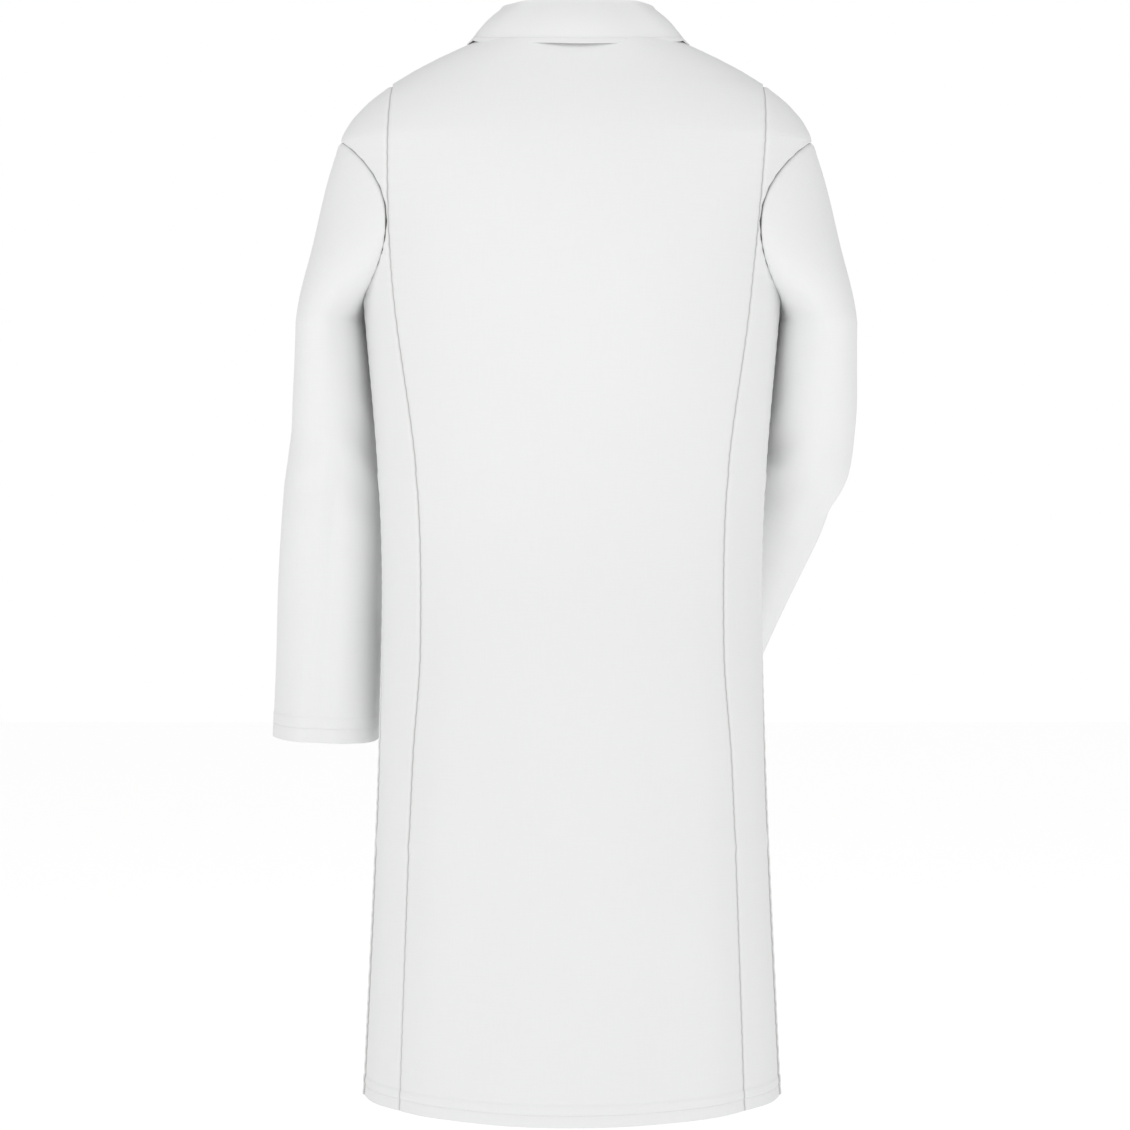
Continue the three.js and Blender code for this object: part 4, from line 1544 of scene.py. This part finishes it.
SLEEVE_STATIONS = {
    Side.LEFT: (Station((-230.5, 12, -262), 28, 64, 14), Station((-229.5, 30, -355), 36, 60, 16),
                Station((-230.5, 37, -390), 41, 58, 16), Station((-232.5, 43, -425), 46, 57, 16),
                Station((-240, 59, -662), 51, 53, 10)),
    Side.RIGHT: (Station((235, 12, -262), 33, 64, 14), Station((230.5, 36, -355), 38.5, 59, 20),
                 Station((224, 50, -390), 40, 56, 30), Station((209.6, 64.5, -419.3), 39, 54, 36),
                 Station((124.6, 161.3, -614.7), 37, 52, 52)),
}


# ---- Collar, neck and loop ----
LOOP_HALF, LOOP_RISE = 23.3, 19.3  # mm, of the loop's arch
LOOP_PLIES = ((0.0, -0.36), (1.5, -0.36), (3.0, -0.36), (4.5, -0.36), (6.0, -0.36), (7.2, -0.36),
              (7.7, -0.25), (7.9, 0.0), (7.7, 0.25),
              (7.2, 0.36), (6.0, 0.36), (4.5, 0.36), (3.0, 0.36), (1.5, 0.36), (0.0, 0.36))  # along, off


def sheet_normal(middle: Array) -> Array:
    """The outward direction of a grid whose columns run round and whose rows run up."""
    return unit(np.cross(np.gradient(middle, axis=1), np.gradient(middle, axis=0)))


def spline(keys: Sequence[tuple[float, float, float]], count: int) -> Array:
    """Points along a smooth curve through keys.

    Args:
        keys: the points passed, in millimetres.
        count: how many points to make.

    Returns:
        The points, in metres.
    """
    k = np.array(keys, float) * MM
    slope = np.gradient(k, axis=0)
    t = np.linspace(0, len(k) - 1, count)
    i = np.clip(t.astype(int), 0, len(k) - 2)
    f = (t - i)[:, None]
    return hermite(f, k[i], slope[i], k[i + 1], slope[i + 1])


@dataclass
class Collar:
    """The collar's fall and leaves in one sheet, its stand, the neck facing and the hanger loop."""

    sewing: Sewing
    fold: Sequence[tuple[float, float, float]] = ((0, -67, 37), (54, -47, 38), (76, 0, 36), (74, 28, 18),
                                                  (68, 52, -12), (63, 72, -40))
    edge: Sequence[tuple[float, float, float]] = ((0, -85, -6), (84, -51, 0.5), (103, -20, 5.5),
                                                  (111, 38, -3), (114, 72, -45), (112, 78, -62))
    columns: int = 181
    neck_sway: float = BODY.sway_max
    bulge: float = 3.2 * MM
    fall_ply: float = 1.4 * MM
    facing_depth: float = 3.9 * MM
    facing_angle: float = 0.7
    turn_start: float = 0.022  # behind and below the neck, where the span of the turned-up fall's hold starts
    turn_end: float = 0.062
    loop_place: float = -0.048

    def both_sides(self, keys: Sequence[tuple[float, float, float]]) -> Array:
        """A curve from the left end, round the neck, to the right end."""
        left = [(-x, y, z) for x, y, z in reversed(keys[1:])]
        return spline([*left, *keys], self.columns)

    def fall(self) -> Grid:
        """The turned-down collar, from inside the fold to its edge.

        Returns:
            The sheet.
        """
        fold, edge = self.both_sides(self.fold), self.both_sides(self.edge)
        across = unit((edge - fold) * np.array([1, 1, 0]))
        up = np.array([0, 0, MM])
        rows = [fold - across * 3.5 * MM - 6 * up, fold - across * 2.8 * MM - 2 * up,
                fold - across * 1.4 * MM + 0.6 * up, fold + 1.2 * up]
        shares = [[0.03, 0.07], np.linspace(0.12, 0.82, 12), [0.86, 0.90, 0.93, 0.96, 0.985, 1.0]]
        for t in np.concatenate(shares):
            bulge = self.bulge * math.sin(TURN * min(t * 1.15, 1.0))
            rows.append(lerp(fold, edge, t) + across * bulge)
        middle = np.array(rows)[::-1].copy()
        middle[..., 0] += BODY.sway(middle[..., 2])
        normal = sheet_normal(middle)
        away = np.linspace(0, 1, self.columns)[None, :]
        ripple = 0.35 * MM * np.sin(away * 41 + 1.0) + 0.25 * MM * np.sin(away * 97)
        return Grid.from_surface(middle, normal, ripple * np.ones((len(middle), 1)), ply=self.fall_ply)

    def stand(self) -> Grid:
        """The upright band inside the fall.

        Returns:
            The sheet.
        """
        angle = np.radians(np.linspace(-84, 84, 97))
        rows = []
        for t in np.linspace(0, 1, 12):
            half = lerp(0.074, 0.071, t)
            depth = lerp(0.072, 0.061, t)
            z = lerp(1 * MM + 14 * MM * np.sin(angle) ** 4, 33.0 * MM, t)
            across = self.neck_sway + half * np.sin(angle)
            rows.append(np.stack([across, -depth * np.cos(angle), z + 0 * angle], axis=-1))
        middle = np.array(rows)
        return Grid.from_surface(middle, sheet_normal(middle), -0.7 * MM + np.zeros(middle.shape[:2]))

    def neck_facing(self) -> Grid:
        """The shaped facing inside the back of the neck.

        Returns:
            The sheet.
        """
        rows = rows_between(-0.062, -0.004)
        return body_panel(clustered(0.13), rows, lambda z: -self.facing_angle + 0 * z,
                          lambda z: self.facing_angle + 0 * z, left_seam=False, right_seam=False,
                          stand=-self.facing_depth, hem=False)

    def loop(self) -> Grid:
        """The hanger loop, a strip folded double and bent into a loop.

        Returns:
            The sheet.
        """
        turn = np.linspace(TURN, 0, 49)
        rows = []
        for across, off in LOOP_PLIES:
            rows.append(np.stack([self.neck_sway + (LOOP_HALF + off) * MM * np.cos(turn),
                                  self.loop_place + across * MM + 0 * turn,
                                  2 * MM + (LOOP_RISE + off) * MM * np.sin(turn)], axis=-1))
        middle = np.array(rows)
        return Grid.from_surface(middle, sheet_normal(middle), np.zeros(middle.shape[:2]), ply=0.5 * MM)

    def build(self) -> None:
        """Makes the collar's pieces."""
        fall = self.fall()
        shift = lambda s: tuple(np.array([0.0, -1.0, -1.0]) / math.sqrt(2) * s)
        hold = Hold("torso", "collar_fall", shift(self.turn_start), shift(self.turn_end))
        self.sewing.cloth("collar_cloth", fall, Slot.COLLAR, hold,
                          ["collar_fall", "collar_leaf_left", "collar_leaf_right"], held="folded",
                          lines=[row_line(fall, 4)])
        self.sewing.cloth("collar_stand_cloth", self.stand(), Slot.COLLAR, TORSO, ["collar_stand"])
        self.sewing.cloth("neck_facing_cloth", self.neck_facing(), Slot.FACING, TORSO, ["neck_facing"])
        self.sewing.cloth("hanger_loop_tape", self.loop(), Slot.FACING, TORSO, ["hanger_loop"],
                          held="folded")


# ---- Pockets ----
@dataclass
class Pocket:
    """A patch pocket, open along the top."""

    sewing: Sewing
    name: str
    side: Side
    node: str
    bottom: float
    top: float
    first: Callable
    second: Callable
    fullness: float
    width: float
    band_height: float = 0.026
    cloth_lift: float = 3.1 * MM
    corner_share: float = 0.06

    def grid(self) -> tuple[Grid, Array]:
        """The pocket's cloth.

        Returns:
            The sheet, and its row heights.
        """
        extra = [self.top - self.band_height + d * MM for d in (-1.5, -0.7, 0, 0.7, 1.5)]
        rows = rows_between(self.bottom, self.top, [*extra, self.bottom + 2 * MM])
        u, z = np.meshgrid(clustered(self.width, 4.5 * MM), rows)
        v = (z - self.bottom) / (self.top - self.bottom)
        corner = self.corner_share * (1 - smooth(v, 0, 0.18))
        angle = lerp(self.first(z), self.second(z), lerp(corner, 1 - corner, u))
        swell = self.fullness * np.sin(TURN * u) * (0.25 + 0.75 * v)
        edge = np.minimum(np.minimum(u, 1 - u) * self.width, z - self.bottom)
        relief = 0.35 * MM * smooth(edge, 2.2 * MM, 5 * MM) + DRAPE.band(self.top - z, self.band_height)
        relief = relief + 0.7 * MM * np.sin(9 * u + 14 * z) * np.sin(TURN * u)
        normal = BODY.normal(angle, z)
        middle = BODY.point(angle, z)
        grid = Grid.from_surface(middle, normal, relief + swell + self.cloth_lift)
        return (grid if self.side is Side.RIGHT else grid.mirrored()), rows

    def build(self) -> None:
        """Makes the pocket with its stitches."""
        grid, rows = self.grid()
        low = nearest(rows, self.bottom + 2 * MM)
        band = nearest(rows, self.top - self.band_height)
        lines = [column_line(grid, 2, low), column_line(grid, -3, low), row_line(grid, low)[2:-2],
                 row_line(grid, band)]
        self.sewing.cloth(self.name, grid, Slot.POCKET, TORSO, [self.node], lines=lines)


# ---- Buttons ----
BUTTON_PROFILE = ((0.0, 3.2), (6.6, 3.0), (8.0, 3.1), (8.8, 3.7), (9.0, 4.5), (8.8, 5.3), (8.2, 5.85),
                  (7.5, 6.0), (6.9, 5.8), (6.4, 5.35), (5.9, 5.15), (4.2, 5.1), (0.0, 5.1))  # radius, height
FACE_RINGS = (0.55, 0.12)  # of the rim, for the rings that fill a flat face
STRAND_SHIFTS = (-0.35, 0.0, 0.35)


@dataclass
class Button:
    """A four-hole button, its thread and its buttonhole."""

    sewing: Sewing
    number: int
    sides: int = 64
    hole_offset: float = 2.1 * MM
    hole_radius: float = 0.9 * MM
    hole_sides: int = 20
    hole_depth: float = 8 * MM
    hole_middle: float = 4.5 * MM
    sharp_angle: float = 40.0
    shank_radius: float = 1.25 * MM
    shank_points: int = 140
    shank_turns: int = 7
    slit_half: float = 11.5 * MM
    slit_gap: float = 0.9 * MM

    def centre(self) -> Array:
        """Where the button is sewn on, from its joint."""
        return np.array(joint(f"button_{self.number}_tilt")["pos_m"])

    def head(self) -> bpy.types.Object:
        """The moulded head, with four real holes.

        Returns:
            The new object.
        """
        turn = np.linspace(0, 2 * TURN, self.sides, endpoint=False)
        at = self.centre()
        points, quads = [], []
        rings = BUTTON_PROFILE[1:-1]
        for r, y in rings:
            ring = [r * MM * np.cos(turn), y * MM + 0 * turn, r * MM * np.sin(turn)]
            points.append(np.stack(ring, axis=-1))
        count = self.sides
        n = np.arange(count)
        m = (n + 1) % count
        for i in range(len(rings) - 1):
            near, far = i * count, (i + 1) * count
            quads.append(np.stack([n + near, n + far, m + far, m + near], axis=-1))
        body = np.concatenate(points)
        faces = ((0, BUTTON_PROFILE[0][1], True), (len(rings) - 1, BUTTON_PROFILE[-1][1], False))
        for ring, y, flip in faces:
            base = ring * count
            for share in FACE_RINGS:
                r = rings[ring][0] * MM * share
                new = np.stack([r * np.cos(turn), y * MM + 0 * turn, r * np.sin(turn)], axis=-1)
                start = len(body)
                body = np.concatenate([body, new])
                quad = np.stack([n + base, n + start, m + start, m + base], axis=-1)
                quads.append(quad[:, ::-1] if flip else quad)
                base = start
            start = len(body)
            body = np.concatenate([body, np.array([[0.0, y * MM, 0.0]])])
            half = np.stack([n[::2] + base, np.full(count // 2, start), (n[::2] + 2) % count + base,
                             n[1::2] + base], axis=-1)
            quads.append(half[:, ::-1] if flip else half)
        piece = mesh_object(f"button_head_{self.number}", body + at, np.concatenate(quads))
        cutters = []
        for dx in (-1, 1):
            for dz in (-1, 1):
                bpy.ops.mesh.primitive_cylinder_add(vertices=self.hole_sides, radius=self.hole_radius,
                                                    depth=self.hole_depth, rotation=(TURN / 2, 0, 0))
                tool = bpy.context.object
                place = [dx * self.hole_offset, self.hole_middle, dz * self.hole_offset]
                tool.location = at + np.array(place)
                cut = piece.modifiers.new("Hole", "BOOLEAN")
                cut.operation = "DIFFERENCE"
                cut.solver = "EXACT"
                cut.object = tool
                cutters.append(tool)
        bpy.context.view_layer.update()
        made = bpy.data.meshes.new_from_object(piece.evaluated_get(bpy.context.evaluated_depsgraph_get()))
        piece.modifiers.clear()
        piece.data = made
        made.set_sharp_from_angle(angle=math.radians(self.sharp_angle))
        for tool in cutters:
            bpy.data.objects.remove(tool, do_unlink=True)
        return piece

    def build(self) -> None:
        """Makes the head, the thread through it and the buttonhole's stitching."""
        at = self.centre()
        body = f"button_{self.number}"
        head = self.head()
        head.data.materials.clear()
        self.sewing.finish(head, Slot.BUTTON, Hold(body), [body])
        lines = []
        for side in (-1, 1):
            for shift in STRAND_SHIFTS:
                t = np.linspace(-1, 1, 9)
                lines.append(np.stack([at[0] + side * self.hole_offset + shift * MM + 0 * t,
                                       at[1] + (5.2 + 0.5 * (1 - t**2)) * MM,
                                       at[2] + self.hole_offset * t], axis=-1))
        turn = np.linspace(0, 2 * self.shank_turns * TURN, self.shank_points)
        rise = np.linspace(-0.4, 3.0, self.shank_points) * MM
        lines.append(np.stack([at[0] + self.shank_radius * np.cos(turn), at[1] + rise,
                               at[2] + self.shank_radius * np.sin(turn)], axis=-1))
        self.sewing.stitch(f"button_thread_{self.number}", lines, Slot.BUTTON, Hold(body),
                           BUTTON_THREAD)
        slit = []
        for side in (-1, 1):
            x = np.linspace(-self.slit_half, self.slit_half, 47)
            z = np.full_like(x, at[2] + side * self.slit_gap)
            angle = BODY.front_angle(x + at[0], z)
            lift = DRAPE.height(angle, z) + CLOTH_STAND + PLY / 2 + STITCH_LIFT
            slit.append(BODY.on(angle, z, lift))
        ends = [np.stack([lerp(slit[0][i], slit[1][i], t) for t in np.linspace(0, 1, 5)]) for i in (0, -1)]
        hold = front_hold(Side.RIGHT)
        self.sewing.stitch(f"buttonhole_{self.number}", [*slit, *ends], Slot.COAT, hold,
                           BUTTONHOLE_THREAD)


# ---- Studio ----
@dataclass(frozen=True)
class Studio:
    """Pale floor, soft light and the camera."""

    camera_place: tuple[float, float, float] = (-0.0067, -3.0, -0.494)
    lens: float = 99.4
    sensor: float = 36.0
    floor_height: float = -1.25
    floor_half: float = 12.0
    floor_glow: float = 0.45
    floor_dark: tuple[float, float, float] = (0.93, 0.93, 0.93)
    floor_light: tuple[float, float, float] = (0.96, 0.96, 0.96)
    world_strength: float = 0.56

    def camera(self) -> None:
        """Adds the camera, level and looking along +Y."""
        data = bpy.data.cameras.new("Camera")
        data.lens = self.lens
        data.sensor_width = self.sensor
        seat = bpy.data.objects.new("Camera", data)
        seat.location = self.camera_place
        seat.rotation_euler = (TURN / 2, 0, 0)
        bpy.context.scene.collection.objects.link(seat)
        bpy.context.scene.camera = seat

    def floor(self) -> None:
        """Adds the floor."""
        half = self.floor_half
        points = np.array([[-half, -half, self.floor_height], [half, -half, self.floor_height],
                           [half, half, self.floor_height], [-half, half, self.floor_height]])
        piece = mesh_object("floor", points, np.array([[0, 1, 2, 3]]))
        material, make, shader = start_material("Pale floor")
        shader.inputs["Roughness"].default_value = 0.9
        shader.inputs["Emission Color"].default_value = (1, 1, 1, 1)
        shader.inputs["Emission Strength"].default_value = self.floor_glow
        grain = make.add("ShaderNodeTexNoise")
        grain.inputs["Scale"].default_value = 3.0
        pale = add_tint(make, self.floor_dark, self.floor_light, grain.outputs["Fac"])
        make.link(pale, shader.inputs["Base Color"])
        piece.data.materials.append(material)

    def light(self, name: str, place: tuple[float, float, float], aim: tuple[float, float, float],
              size: float, power: float) -> None:
        """Adds a soft square light.

        Args:
            name: the light's name.
            place: where it stands.
            aim: the point it faces.
            size: the side of its square, in metres.
            power: its power, in watts.
        """
        data = bpy.data.lights.new(name, "AREA")
        data.size = size
        data.energy = power
        lamp = bpy.data.objects.new(name, data)
        lamp.location = place
        away = np.array(place) - np.array(aim)
        lamp.rotation_euler = (math.acos(away[2] / np.linalg.norm(away)), 0, math.atan2(away[0], -away[1]))
        bpy.context.scene.collection.objects.link(lamp)

    def world(self) -> None:
        """White where the camera sees it, and a softer grey as light."""
        world = bpy.data.worlds.new("Studio")
        world.use_nodes = True
        bpy.context.scene.world = world
        make = Nodes(world.node_tree)
        world.node_tree.nodes.clear()
        path = make.add("ShaderNodeLightPath")
        seen = make.add("ShaderNodeBackground")
        seen.inputs["Strength"].default_value = 1.0
        seen.inputs["Color"].default_value = (1, 1, 1, 1)
        lit = make.add("ShaderNodeBackground")
        lit.inputs["Strength"].default_value = self.world_strength
        lit.inputs["Color"].default_value = (1, 1, 1, 1)
        mix = make.add("ShaderNodeMixShader")
        out = make.add("ShaderNodeOutputWorld")
        make.link(path.outputs["Is Camera Ray"], mix.inputs[0])
        make.link(lit.outputs[0], mix.inputs[1])
        make.link(seen.outputs[0], mix.inputs[2])
        make.link(mix.outputs[0], out.inputs[0])

    def build(self) -> None:
        """Sets up the whole studio."""
        bpy.context.scene.view_settings.view_transform = "Standard"
        self.camera()
        self.world()
        self.floor()
        self.light("Key", (-1.5, -2.3, 1.5), (0, 0, -0.30), 1.6, 22.0)
        self.light("Fill", (2.0, -2.4, 1.2), (0, 0, -0.35), 1.8, 15.0)


def main() -> None:
    """Builds the studio and the coat, one sub-assembly after another."""
    logging.basicConfig(level=logging.INFO, format="%(message)s")
    Studio().build()
    sewing = Sewing()
    BodyPanels(sewing).build()
    Fronts(sewing).build()
    for side, stations in SLEEVE_STATIONS.items():
        Sleeve(sewing, side, stations).build()
    Collar(sewing).build()
    for side in Side:
        Pocket(sewing, f"hip_pocket_cloth_{side.word}", side, f"hip_pocket_{side.word}", -0.745, -0.560,
               lambda z: np.radians(101) + 0 * z, lambda z: BODY.front_angle(0.083, z),
               6.5 * MM if side is Side.RIGHT else 9 * MM, 0.15).build()
    Pocket(sewing, "chest_pocket_cloth", Side.LEFT, "chest_pocket", -0.324, -0.212,
           lambda z: BODY.front_angle(0.164, z), lambda z: BODY.front_angle(0.082, z), 6 * MM, 0.10).build()
    for number in BUTTON_NUMBERS:
        Button(sewing, number).build()


if __name__ == "__main__":
    main()
